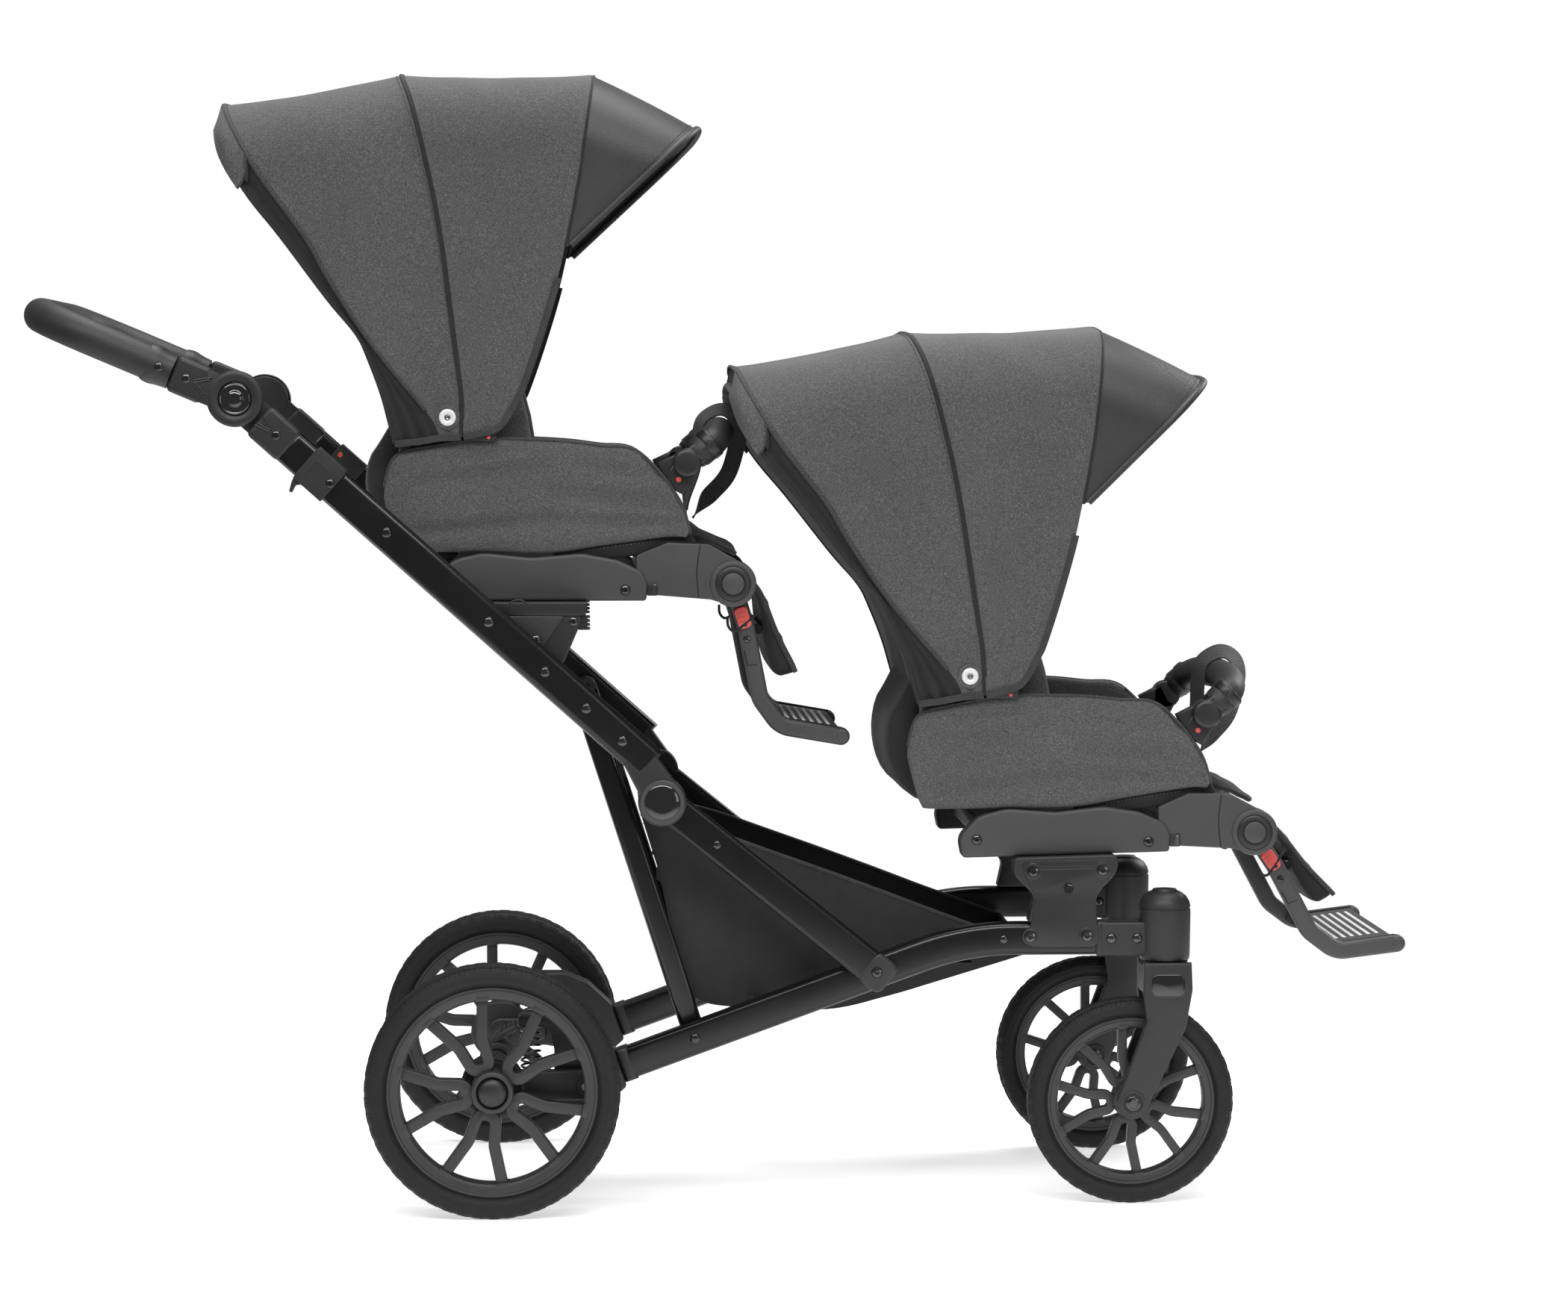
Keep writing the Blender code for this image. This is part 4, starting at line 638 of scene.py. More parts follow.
def tyre(end, side, s):
    shape = wheelShapes[end]
    radius, rim, half, steps = shape["radius"], shape["rim"], shape["width"] / 2, shape["steps"]
    top = radius - tread["blockRise"]
    wall = [(rim - 0.003, half * 0.62), (rim + 0.0002, half * 0.66), (rim + 0.001, half * 0.78),
            (rim + 0.0034, half * 0.92), (rim + 0.006, half * 0.99)]
    for k in range(tread["ribs"]):
        r = rim + 0.008 + tread["ribPitch"] * k
        wall += [(r - 0.0006, half), (r, half + tread["ribRise"]), (r + 0.0006, half)]
    wall += [(top - 0.0085, half * 0.99), (top - 0.0068, half * 0.95), (top - 0.0035, half * 0.84),
             (top - 0.0012, half * 0.66), (top - 0.0012, half * 0.58), (top, half * 0.54), (top, half * 0.22),
             (top - 0.0012, half * 0.18), (top - 0.0012, half * 0.08), (top, half * 0.04)]
    section = wall + [(r, -y) for r, y in wall[::-1]]
    centre = Vector((shape["x"], s * shape["middle"], radius))

    def blocks(part):        # raised shoulder and crown blocks, with a gap after every second step
        chosen = []
        for face in part.faces:
            out = face.calc_center_median() - centre
            reach, across = math.hypot(out.x, out.z), abs(out.y) / half
            row = int((math.atan2(out.z, out.x) / (2 * math.pi) + 1) * steps + 0.01) + (1 if out.y > 0 else 0)
            raised = any(low < across < high for low, high in (tread["crown"], tread["shoulder"]))
            if reach > top - 0.0062 and raised and row % 3:
                chosen.append(face)
        bmesh.ops.inset_individual(part, faces=chosen, thickness=tread["blockEdge"], depth=tread["blockRise"])

    made = piece("rubber").turn(centre, section, steps=steps, closed=True, shape=blocks)
    draw = random.Random(7)
    for k in range(tread["nubs"]):        # moulding nubs that were left on the side walls
        turn = 2 * math.pi * (k + draw.random() * 0.5) / tread["nubs"]
        r = top - 0.01 - 0.004 * draw.random()
        for out in bothSides:
            x, z = along((centre.x, centre.z), turn, r)
            y = centre.y + out * half
            nub = [(x, y - out * 0.0005, z), (x, y + out * tread["nubLength"], z + 0.0004)]
            made.tube(nub, tread["nubRadius"], 4)
    made.done(f"tyre_{end}_{side}", f"{end}_wheel_{side}", stands=[f"{end}_tyre_{side}"], smooth=38)


def wheel(end, side, s):
    shape = wheelShapes[end]
    rim, depth, half, hub = shape["rim"], shape["depth"], shape["rimWidth"] / 2, shape["hub"]
    scale = rim / wheelShapes["rear"]["rim"]
    x, y, z = shape["x"], s * shape["middle"], shape["radius"]
    lip = [(rim - 0.0002, half - 0.0012), (rim - 0.0014, half), (rim - 0.004, half),
           (rim - 0.005, half - 0.0014), (rim - depth + 0.0034, half - 0.0018),
           (rim - depth + 0.0014, half - 0.003), (rim - depth, half - 0.006)]
    made = piece("rim").turn((x, y, z), lip + [(r, -h) for r, h in lip[::-1]], steps=144, closed=True)

    foot = along((0, 0), spoke["foot"], (rim - depth / 2))        # each pair of spokes is one bent bar
    kink = (spoke["kink"][0] * scale, spoke["kink"][1] * scale)
    bend = arc((spoke["bendCentre"] * scale, 0), spoke["bend"] * scale, math.pi / 2, 3 * math.pi / 2, 14)
    path = rounded([foot, kink, bend[0]], 0.03, 6, closed=False)
    path += bend[1:-1] + [(a, -b) for a, b in path[::-1]]
    wide, thick, edge = spoke["width"] * scale, spoke["depth"] * scale / 2, spoke["edge"] * scale
    stepLong, stepWide, stepTall = spoke["step"]
    for k in range(spoke["pairs"]):
        turn = spoke["first"] + 2 * math.pi * k / spoke["pairs"]
        pair = [along((x, z), turn, *point) for point in path]
        made.plate(ribbon(pair, wide), y - thick, y + thick, edge, 3)
        for out in bothSides:        # the moulded step where each spoke meets the rim
            for branch in bothSides:
                lean = turn + branch * spoke["foot"]
                at = along((x, z), lean, rim - depth + 0.0032)
                made.box((at[0], y + out * (half - 0.003), at[1]), (stepLong, stepWide, stepTall * scale),
                         0.0012, 2, lean)
    if end == "rear":
        cup = [(0.0064, 0.0004), (hub, 0.0004), (hub, 0.0405), (hub - 0.0014, 0.0428), (hub - 0.0036, 0.0436),
               (hub - 0.0058, 0.043), (hub - 0.0066, 0.0405), (0.0172, 0.0392), (0.017, 0.035),
               (0.0064, 0.035)]
        made.disc((x, z), shape["hubFace"], s, cup, 64)
    else:
        cap = [(0, 0), (hub, 0), (hub, 0.015), (hub - 0.0016, 0.0172), (hub - 0.006, 0.018),
               (0.012, 0.0185), (0.0114, 0.0218), (0.0056, 0.0218), (0.0056, 0.015), (0, 0.015)]
        for out in bothSides:
            made.turn((x, y, z), cap, axis=(0, out, 0), steps=56)
    made.done(f"wheel_{end}_{side}", f"{end}_wheel_{side}", stands=[f"{end}_wheel_{side}"])


def releaseButton(side, s):
    button = [(0, 0.003), (0.0164, 0.003), (0.0164, 0.0066), (0.0156, 0.0078), (0.012, 0.01),
              (0.006, 0.0112), (0, 0.0115)]
    made = piece("darkPlastic").disc(rearAxle, wheelShapes["rear"]["button"], s, button, 48)
    made.done(f"releaseButton_{side}", f"wheel_release_{side}", stands=[f"wheel_release_{side}"])


for side, s in sides:
    for end in ("rear", "front"):
        tyre(end, side, s)
        wheel(end, side, s)
    releaseButton(side, s)
print("wheels and tyres made")


# Casters

caster = {"x": 0.7997, "y": 0.2, "top": 0.2905, "crown": 0.251, "inner": 0.0225, "outer": 0.0355,
          "boss": 0.019, "insert": (0.04, 0.026), "insertAt": (0.0005, 0.264), "stemTop": 0.336}
headset = {"bottom": 0.291, "radius": 0.031, "seam": 0.353, "top": 0.376, "armZ": 0.3176,
           "rivets": [(0.7344, 0.3184), (0.7653, 0.3183)]}


def casterFork(side, s):
    x, y = caster["x"], s * caster["y"]
    axle = (wheelShapes["front"]["x"], wheelShapes["front"]["radius"])
    low, high, inner, outer = caster["crown"], caster["top"], caster["inner"], caster["outer"]
    leg = rounded([(x - 0.0285, high), (x - 0.029, low), (x - 0.025, 0.22)], 0.02, 6, closed=False)
    leg += arc(axle, caster["boss"], math.radians(155), math.radians(345), 24)
    leg += rounded([(x + 0.022, 0.212), (x + 0.03, 0.258), (x + 0.0285, high)], 0.03, 6, closed=False)
    crown = [(x - 0.0287, low), (x + 0.0295, low), (x + 0.0285, high), (x - 0.0285, high)]
    made = piece("plastic").plate(rounded(crown, 0.006, 5), y - outer + 0.002, y + outer - 0.002, 0.003, 3)

    at = (x + caster["insertAt"][0], caster["insertAt"][1])
    wide, tall = caster["insert"][0] / 2, caster["insert"][1] / 2
    pane = [(at[0] - wide, at[1] - tall), (at[0] + wide, at[1] - tall), (at[0] + wide, at[1] + tall),
            (at[0] - wide, at[1] + tall)]
    ring = [(at[0] + (px - at[0]) * 1.1, at[1] + (pz - at[1]) * 1.14) for px, pz in pane]
    washer = [(0.015, outer - 0.001), (0.015, outer + 0.0012), (0.014, outer + 0.0018),
              (0.0118, outer + 0.0018), (0.011, outer + 0.001), (0.0098, outer + 0.0004), (0, outer + 0.0004)]
    cap = [(0.0085, outer - 0.001), (0.0085, outer + 0.0014), (0.0076, outer + 0.002), (0, outer + 0.002)]
    nut = [(0.0062, outer), (0.0062, outer + 0.0046), (0.0054, outer + 0.0054), (0, outer + 0.0054)]
    for out in bothSides:
        base = y + out * (outer - 0.001)
        made.use("plastic").plate(leg, y + out * inner, y + out * outer, 0.003, 4)
        made.plate(rounded(ring, 0.009, 6), base, y + out * (outer + 0.0006), 0.0005, 2)
        made.use("gloss").plate(rounded(pane, 0.008, 6), base, y + out * (outer + 0.0014), 0.0012, 4)
        for finish, profile, steps in (("plastic", washer, 40), ("rivet", cap, 32), ("rivet", nut, 6)):
            made.use(finish).turn((axle[0], y, axle[1]), profile, axis=(0, out, 0), steps=steps)
    made.use("rivet").rod(axle, 0.005, y - inner - 0.002, y + inner + 0.002)
    top = caster["stemTop"]
    stem = [(0, high - 0.01), (0.008, high - 0.01), (0.008, top - 0.0005), (0.007, top), (0, top)]
    made.post(x, y, stem, 24)
    made.use("softBlack").post(x, y, [(0.028, high - 0.001), (0.028, high + 0.0003), (0, high + 0.0003)], 48)
    made.done(f"casterFork_{side}", f"caster_{side}", stands=[f"front_fork_{side}"])


def casterHousing(side, s):
    x, y, r, z = caster["x"], s * caster["y"], headset["radius"], headset["armZ"]
    low, seam, top = headset["bottom"], headset["seam"], headset["top"]
    barrel = [(0.0086, low), (r - 0.0034, low), (r - 0.0018, low + 0.0012), (r - 0.0008, low + 0.006),
              (r, seam - 0.006), (r - 0.0002, seam - 0.001), (r - 0.0012, seam - 0.0004),
              (r - 0.0012, seam + 0.001), (r - 0.0002, seam + 0.0016), (r - 0.0003, seam + 0.0034),
              (r - 0.0018, seam + 0.0088), (r - 0.0056, seam + 0.0148), (r - 0.0112, seam + 0.019),
              (0.0166, top - 0.0026), (0.016, top - 0.0032), (0.015, top - 0.0032),
              (0.0146, top - 0.001), (0.0136, top), (0, top)]
    made = piece("plastic").post(x, y, barrel, 80)
    arm = [(0.7213, z - 0.0195), (x, z - 0.021), (x, z + 0.02), (0.7213, z + 0.0195)]
    made.plate(rounded(arm, 0.003, 4), y - 0.0165, y + 0.0165, 0.004, 4)
    sleeve = [(0.716, z - 0.0206), (0.73, z - 0.0206), (0.73, z + 0.0206), (0.716, z + 0.0206)]
    made.plate(rounded(sleeve, 0.003, 4), y - 0.0152, y + 0.0152, 0.004, 3)
    dome = [(0.006, 0.0155), (0.006, 0.0172), (0.005, 0.0186), (0.0028, 0.0192), (0, 0.0192)]
    made.use("rivet")
    for point in headset["rivets"]:
        for out in bothSides:
            made.turn((point[0], y, point[1]), dome, axis=(0, out, 0), steps=24)
    made.done(f"casterHousing_{side}", "chassis", stands=[f"headset_{side}"])


for side, s in sides:
    casterFork(side, s)
    casterHousing(side, s)
print("casters made")


# Chassis

lowerTube = {"rear": (0.15, 0.1679), "corner": (0.5618, 0.3176), "front": (0.721, 0.3176), "bend": 0.34,
             "depth": 0.0395, "inner": 0.186, "outer": 0.214, "edge": 0.009}
pivots = {"link": (0.4539, 0.281), "hub": (0.1999, 0.4852), "strutFoot": (0.239, 0.201),
          "strutHead": (0.1107, 0.5963), "axle": (0.11, 0.15)}
lowerSlope = heading(lowerTube["rear"], lowerTube["corner"])


def chassisTube(side, s):
    inner, outer, depth = lowerTube["inner"], lowerTube["outer"], lowerTube["depth"]
    path = rounded([lowerTube["rear"], lowerTube["corner"], lowerTube["front"]], lowerTube["bend"], 28,
                   closed=False)
    made = piece("paint").plate(ribbon(path, depth), s * inner, s * outer, lowerTube["edge"], 6)
    made.use("plastic").rod(pivots["link"], 0.012, s * (outer - 0.004), s * 0.216)
    made.rod(pivots["strutFoot"], 0.012, s * (inner + 0.004), s * 0.1833)
    collar = [along(lowerTube["rear"], lowerSlope, forward) for forward in (0.0005, 0.016)]
    made.plate(ribbon(collar, depth + 0.0022), s * (inner - 0.001), s * (outer + 0.001), 0.006, 4)
    made.use("rivet").rivet(pivots["strutFoot"], outer, s, 0.0062, 0.0026)
    made.rivet((0.606, 0.3176), outer, s, 0.005, 0.002)
    made.done(f"chassisTube_{side}", "chassis", stands=[f"lower_tube_{side}"])


rearEnd = {"beam": (0.015, 0.182), "housing": (0.18, 0.22), "axle": (0.013, 0.239), "arm": (0.2203, 0.2433),
           "armRadius": 0.0175, "drum": 0.2283, "teeth": 12, "toothRadius": 0.0325, "toothFace": 0.2498,
           "tooth": (0.003, 0.0026, 0.0022), "stub": (0.247, 0.2845)}
spring = {"x": 0.044, "y": 0.2, "low": 0.1644, "high": 0.2146, "radius": 0.0109, "wire": 0.0016, "curls": 7,
          "steps": 24}


def axleHousing():
    top, low = [along(lowerTube["rear"], lowerSlope, -0.0003, across) for across in (0.024, -0.024)]
    outline = [low, top, (0.112, 0.218), (0.082, 0.2305), (0.029, 0.2305), (0.029, 0.2165), (0.0659, 0.2165),
               (0.0719, 0.19), (0.0719, 0.15), (0.082, 0.118), (0.125, 0.115)]
    sizes = [0.004, 0.006, 0.02, 0.012, 0.006, 0.003, 0.01, 0.012, 0.02, 0.012, 0.01]
    springSeat = [(0, 0.0), (0.015, 0.0), (0.015, -0.001), (0.0128, -0.0018), (0, -0.0018)]
    radius, half = rearEnd["beam"]
    inner, outer = rearEnd["housing"]
    made = piece("plastic").rod(pivots["axle"], radius, -half, half, 48)
    for s in bothSides:
        made.plate(rounded(outline[::-1], sizes[::-1], 6), s * inner, s * outer, 0.004, 4)
        made.disc(pivots["axle"], outer - 0.0002, s, [(0, 0), (radius, 0), (radius, 0.0002), (0, 0.0002)], 24)
        made.use("rivet").rivet((0.133, 0.174), outer, s, 0.0046, 0.002)
        made.use("plastic").turn((spring["x"], s * spring["y"], 0.2166), springSeat, axis=(0, 0, 1), steps=32)
    made.done("axleHousing", "chassis", stands=["rear_cross_member"])


def sprungAxle():
    pivot, size, teeth = pivots["axle"], rearEnd["armRadius"], rearEnd["teeth"]
    radius, half = rearEnd["axle"]
    inner, outer = rearEnd["arm"]
    made = piece("plastic").rod(rearAxle, radius, -half, half, 40)
    arm = arc(rearAxle, size, math.pi / 2, 3 * math.pi / 2, 16)
    arm += arc(pivot, size, -math.pi / 2, math.pi / 2, 16)
    drum = [(0, 0), (0.0362, 0), (0.038, 0.0018), (0.038, 0.015), (0.0372, 0.0164), (0.035, 0.017),
            (0.035, 0.02), (0.0336, 0.0212), (0.03, 0.0212), (0.029, 0.0226), (0.018, 0.0232),
            (0.016, 0.0251), (0, 0.0251)]
    cap = [(0, -0.001), (0.0125, -0.001), (0.0125, 0.0008), (0.0112, 0.0016), (0, 0.0016)]
    springSeat = [(0, 0.001), (0.0075, 0.001), (0.0075, 0), (0, 0)]
    for s in bothSides:
        made.use("plastic").plate(arm[::-1], s * inner, s * outer, 0.0035, 4)
        made.disc(rearAxle, rearEnd["drum"], s, drum, 72)
        for k in range(teeth):        # the teeth of the brake drum
            turn = 2 * math.pi * k / teeth
            at = along(rearAxle, turn, rearEnd["toothRadius"])
            made.box((at[0], s * rearEnd["toothFace"], at[1]), rearEnd["tooth"], 0.0004, 1, turn)
        made.disc(pivot, outer, s, cap)
        made.use("rivet").hexBolt(pivot, outer + 0.0012, s, 0.0064, 0.004)
        made.rod(rearAxle, 0.006, s * rearEnd["stub"][0], s * rearEnd["stub"][1], 24)
        made.use("plastic").box((spring["x"], s * 0.2038, 0.154), (0.028, 0.034, 0.0172), 0.002, 3)
        made.turn((spring["x"], s * spring["y"], 0.1625), springSeat, axis=(0, 0, 1), steps=24)
    made.done("sprungAxle", "rear_axle", stands=["rear_axle"])


def coilSpring(side, s):
    points = []
    x, y, wire, count = spring["x"], spring["y"], spring["wire"], spring["curls"] * spring["steps"]
    for i in range(count + 1):
        turn = 2 * math.pi * i / spring["steps"]
        points.append((x + spring["radius"] * math.cos(turn), s * (y + spring["radius"] * math.sin(turn)),
                       spring["low"] + (spring["high"] - spring["low"]) * i / count))
    coil = piece("steel").tube(points, wire, 10)
    coil = coil.done(f"coilSpring_{side}", None, smooth=60, stands=[f"suspension_spring_{side}"])
    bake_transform(coil)


pedal = {"saddle": (0.0135, 0.0215), "from": math.radians(15), "to": math.radians(165), "half": 0.03,
         "tread": [(0.002, 0.178), (0.024, 0.19)], "treadHalf": 0.026, "thick": 0.008,
         "ribs": [(0.006, 0.1844), (0.0222, 0.1932)], "ribHalf": 0.02}


def brakePedal():
    low, high = pedal["saddle"]
    saddle = arc(rearAxle, high, pedal["from"], pedal["to"], 28)
    saddle += arc(rearAxle, low, pedal["to"], pedal["from"], 28)
    root = along(rearAxle, math.radians(110), (low + high) / 2)
    made = piece("plastic").plate(saddle[::-1], -pedal["half"], pedal["half"], 0.0016, 3)
    path = rounded([root] + pedal["tread"], 0.02, 6, closed=False)
    made.plate(ribbon(path, pedal["thick"]), -pedal["treadHalf"], pedal["treadHalf"], 0.0024, 3)
    for k in range(4):        # its ribs
        x, z = between(*pedal["ribs"], k / 3)
        made.use("rubber").tube([(x, y, z) for y in (-pedal["ribHalf"], pedal["ribHalf"])], 0.001, 8)
    made.done("brakePedal", "brake_pedal", stands=["brake_pedal"])


for side, s in sides:
    chassisTube(side, s)
    coilSpring(side, s)
axleHousing()
sprungAxle()
brakePedal()
print("chassis made")


# Front seat mount

def frontPoint(x, z):        # where a point of the rear seat's drawing lies on the front seat
    moved = seatMatrix("front") @ Vector((x, 0, z))
    return (moved.x - axleX, moved.z)


mount = {"face": 0.2143, "thick": 0.0017, "bolts": [(0.6408, 0.3987), (0.7236, 0.4), (0.6374, 0.3208),
                                                    (0.7051, 0.3217)], "centre": (0.6828, 0.378),
         "crossTube": (0.69, 0.385), "shelf": 0.7203}


def frontMount():
    tubeTop, shelf = lowerTube["front"][1] + lowerTube["depth"] / 2 + 0.0003, mount["shelf"]
    dock = [(0.635, tubeTop), (0.718, tubeTop), (0.715, 0.37), (0.738, 0.393),
            frontPoint(0.12, shelf), frontPoint(-0.006, shelf), (0.618, 0.393), (0.642, 0.37)]
    dockSizes = [0.002, 0.002, 0.014, 0.014, 0.006, 0.006, 0.014, 0.014]
    hourglass = [(0.631, 0.308), (0.721, 0.308), (0.716, 0.345), (0.716, 0.37), (0.74, 0.398),
                 (0.7437, 0.413), (0.6276, 0.411), (0.63, 0.398), (0.643, 0.37), (0.64, 0.345)]
    hourglassSizes = [0.01, 0.01, 0.024, 0.02, 0.012, 0.008, 0.008, 0.012, 0.02, 0.024]
    washer = [(0, -0.0005), (0.0098, -0.0005), (0.0098, 0.0004), (0.0088, 0.0009), (0, 0.0009)]
    groove = ribbon([(0.633, 0.402), (0.739, 0.4035)], 0.005)
    face, outer = mount["face"], mount["face"] + mount["thick"]
    made = piece("plastic").rod(mount["crossTube"], 0.014, -0.19, 0.19, 40)
    for s in bothSides:
        made.use("plastic").plate(rounded(dock, dockSizes, 6), s * lowerTube["inner"], s * (face + 0.0004),
                                  0.003, 3)
        made.use("darkPlastic").plate(rounded(hourglass, hourglassSizes, 7), s * face, s * outer, 0.0008, 2)
        made.plate(groove, s * (outer - 0.0005), s * (outer + 0.0007), 0.0005, 2)
        for point in mount["bolts"]:
            made.use("darkPlastic").disc(point, outer, s, washer, 32)
            made.use("rivet").bolt(point, outer + 0.0007, s, 0.007, 0.003)
        made.hexBolt(mount["centre"], outer, s, 0.0058, 0.004)
    made.done("frontMount", "chassis", stands=["front_seat_mount"])


# Basket of coated cloth, hung from the lower tubes

basketShape = {
    "half": 0.1555, "wall": 0.0012, "sag": 0.006, "belly": 0.004, "ripple": 0.0022, "corner": 0.6,
    "tabs": [(0.315, 0.244), (0.56, 0.286)],
    "floor": [(0.199, 0.392), (0.209, 0.345), (0.225, 0.276), (0.245, 0.244), (0.3, 0.234),
              (0.3965, 0.231), (0.47, 0.247), (0.5343, 0.265), (0.634, 0.293)],
    "rim": [(0.177, 0.463), (0.22, 0.452), (0.276, 0.437), (0.3329, 0.417), (0.4, 0.393),
            (0.47, 0.367), (0.5326, 0.343), (0.59, 0.322), (0.6355, 0.305)],
}


def basketCloth():
    low, rim = [pathOf(smoothPath(basketShape[key], 6)) for key in ("floor", "rim")]
    half, sag, corner = basketShape["half"], basketShape["sag"], basketShape["corner"]

    def place(u, v):        # v runs up one wall, across the floor and up the other
        across = 2 * v - 1
        rise = smoothStep((abs(across) - corner) / (1 - corner))
        x, z = between(low(u), rim(u), rise)
        wide = half * min(abs(across) / corner, 1.0) ** 0.85 * math.copysign(1, across)
        middle = math.sin(math.pi * u)
        y = wide * (1 + basketShape["belly"] / half * math.sin(math.pi * rise) * middle)
        ripple = noise.noise(Vector((x * 9, y * 9, z * 12))) * basketShape["ripple"] * middle
        dip = sag * middle * (1 - abs(across)) ** 0.5 * (1 - rise)
        return (x, y + ripple * rise, z - dip + ripple * (1 - rise))

    made = piece("oxford").surface(84, 72, place, thick=basketShape["wall"])
    for end in (0, 1):        # the closed ends, each a panel from one rim to the other
        edge = sampled(lambda v: place(end, v), 24)

        def panel(u, v):
            i = int(round(u * 24 / 2))
            return Vector(edge[i]).lerp(Vector(edge[24 - i]), v)

        made.surface(24, 24, panel, thick=basketShape["wall"])
    loop = sampled(lambda u: place(u, 0), 60) + sampled(lambda u: place(1 - u, 1), 60)
    made.use("tape").tube([(x, y * 1.004, z) for x, y, z in loop], 0.0026, 8, closed=True)
    for v, out in ((0.0, -1), (1.0, 1)):
        hem = sampled(lambda u: place(u, v), 50)
        for drop in (0.006, 0.0105):
            made.stitches(shifted(hem, 0, out * 0.0012, -drop), "short", 0.0052)
    snap = [(0, 0), (0.0048, 0), (0.0044, 0.0012), (0, 0.0016)]
    for x, z in basketShape["tabs"]:
        for s in bothSides:
            made.use("oxford").box((x, s * 0.1705, z), (0.023, 0.03, 0.0022), 0.0008, 2)
            made.use("rivet").turn((x, s * 0.17, z + 0.001), snap, axis=(0, 0, 1), steps=20)
    cloth = made.done("basketCloth", "chassis", stands=["basket"], smooth=60)


frontMount()
basketCloth()
print("mount and basket made")


# Folding frame

upper = {"foot": (0.188, 0.527), "inner": 0.2306, "outer": 0.25, "depth": 0.0425, "edge": 0.0085,
         "clear": 0.036, "sleeveEnd": 0.086, "sleeveDepth": 0.0445, "hub": 0.0285,
         "rivets": [(-0.1219, 0.803), (-0.0031, 0.6981), (0.0626, 0.6393), (0.1107, 0.5963),
                    (0.1531, 0.5578)]}
link = {"inner": 0.2165, "outer": 0.2303, "depth": 0.04, "hub": 0.0283}
strutBar = {"inner": 0.165, "outer": 0.183, "depth": 0.027, "boss": 0.013}
handleHub = (jointPoint("handle_angle").x - axleX, jointPoint("handle_angle").z)
slope = heading(upper["foot"], handleHub)
reach = span(upper["foot"], handleHub)
lap = upper["inner"] + 0.0194 / 2        # the handle's hub and the tube's eye share the tube's width


def onUpper(forward, sideways=0.0):
    return along(upper["foot"], slope, forward, sideways)


def moulding(made, centre, direction, near, far, depth, face, s):        # the raised V on a moulded sleeve
    for turn in bothSides:
        arm = [along(centre, direction, near, turn * depth), along(centre, direction, far, turn * 0.0016),
               along(centre, direction, far - 0.003, 0),
               along(centre, direction, near + 0.001, turn * (depth - 0.0034))]
        made.tube(atWidth(rounded(arm, 0.0012, 3, closed=False), s * face), 0.0011, 8)


def lowerLink(side, s):
    hub, pin, inner, outer = pivots["hub"], pivots["link"], link["inner"], link["outer"]
    turn = heading(hub, pin)
    bar = ribbon([along(hub, turn, 0.004), along(pin, turn, 0.018)], link["depth"])
    made = piece("paint").plate(rounded(bar, 0.008, 5), s * (inner - 0.0002), s * outer, 0.006, 5)
    made.plate(circle(hub, link["hub"]), s * inner, s * outer, 0.0014, 3)
    collar = ribbon([along(pin, turn, -0.016), along(pin, turn, 0.019)], link["depth"] + 0.0018)
    made.use("plastic").plate(rounded(collar, 0.01, 6), s * (inner - 0.0004), s * (outer + 0.0006), 0.005, 4)
    made.use("rivet").bolt(pin, outer + 0.0006, s, 0.0064, 0.0028)
    made.rivet(along(hub, turn, 0.083), outer, s, 0.005, 0.002)
    made.done(f"lowerLink_{side}", "lower_link", stands=[f"lower_link_{side}"])


def upperTube(side, s):
    inner, outer, hub = upper["inner"], upper["outer"], pivots["hub"]
    bar = ribbon([upper["foot"], onUpper(reach - upper["sleeveEnd"] + 0.006)], upper["depth"])
    made = piece("paint").plate(bar, s * inner, s * outer, upper["edge"], 6)
    neck = [along(hub, slope, -0.01, -0.025), along(hub, slope, -0.01, 0.025),
            onUpper(0.03, 0.019), onUpper(0.03, -0.019)]
    made.use("plastic").plate(rounded(neck, 0.008, 5), s * (inner + 0.0004), s * (outer - 0.0004), 0.004, 3)
    drum = [(0, 0), (upper["hub"], 0), (upper["hub"], 0.015), (0.0278, 0.018), (0.0262, 0.0192),
            (0.024, 0.0196), (0, 0.0196)]
    ring = [(0.0262, -0.001), (0.0262, 0.0004), (0.0252, 0.0014), (0.0216, 0.0014), (0.0208, 0.0006),
            (0.0208, -0.001)]
    dome = [(0, -0.0006), (0.0206, -0.0006), (0.0206, 0.0008), (0.019, 0.0017), (0.012, 0.0023), (0, 0.0026)]
    made.disc(hub, inner, s, drum, 72)
    made.use("coverPlastic").disc(hub, outer, s, ring, 72)
    made.use("gloss").disc(hub, outer, s, dome, 64)
    made.use("rivet")
    for point in upper["rivets"]:
        made.rivet(point, outer - 0.0002, s, 0.0062, 0.0026)
    sleeve = [onUpper(reach - upper["sleeveEnd"]), onUpper(reach - upper["clear"])]
    sleeve = ribbon(sleeve, upper["sleeveDepth"])
    made.use("plastic").plate(rounded(sleeve, 0.007, 5), s * (inner - 0.0004), s * (outer + 0.0008), 0.006, 5)
    moulding(made, handleHub, slope + math.pi, 0.038, 0.056, 0.007, outer + 0.001, s)
    made.use("rivet").screw(onUpper(reach - 0.064), outer + 0.0006, s, 0.0052)
    tongue = ribbon([onUpper(reach - upper["clear"] - 0.006), handleHub], 0.04)
    eyeOuter = lap - 0.00015
    made.use("plastic").plate(tongue, s * (inner + 0.0004), s * (eyeOuter - 0.0004), 0.001, 2)
    made.plate(circle(handleHub, 0.03, 56), s * inner, s * eyeOuter, 0.0015, 3)
    made.rod(pivots["strutHead"], 0.009, s * 0.1833, s * (inner + 0.003), 24)
    made.done(f"upperTube_{side}", "upper_frame", stands=[f"upper_tube_{side}"])


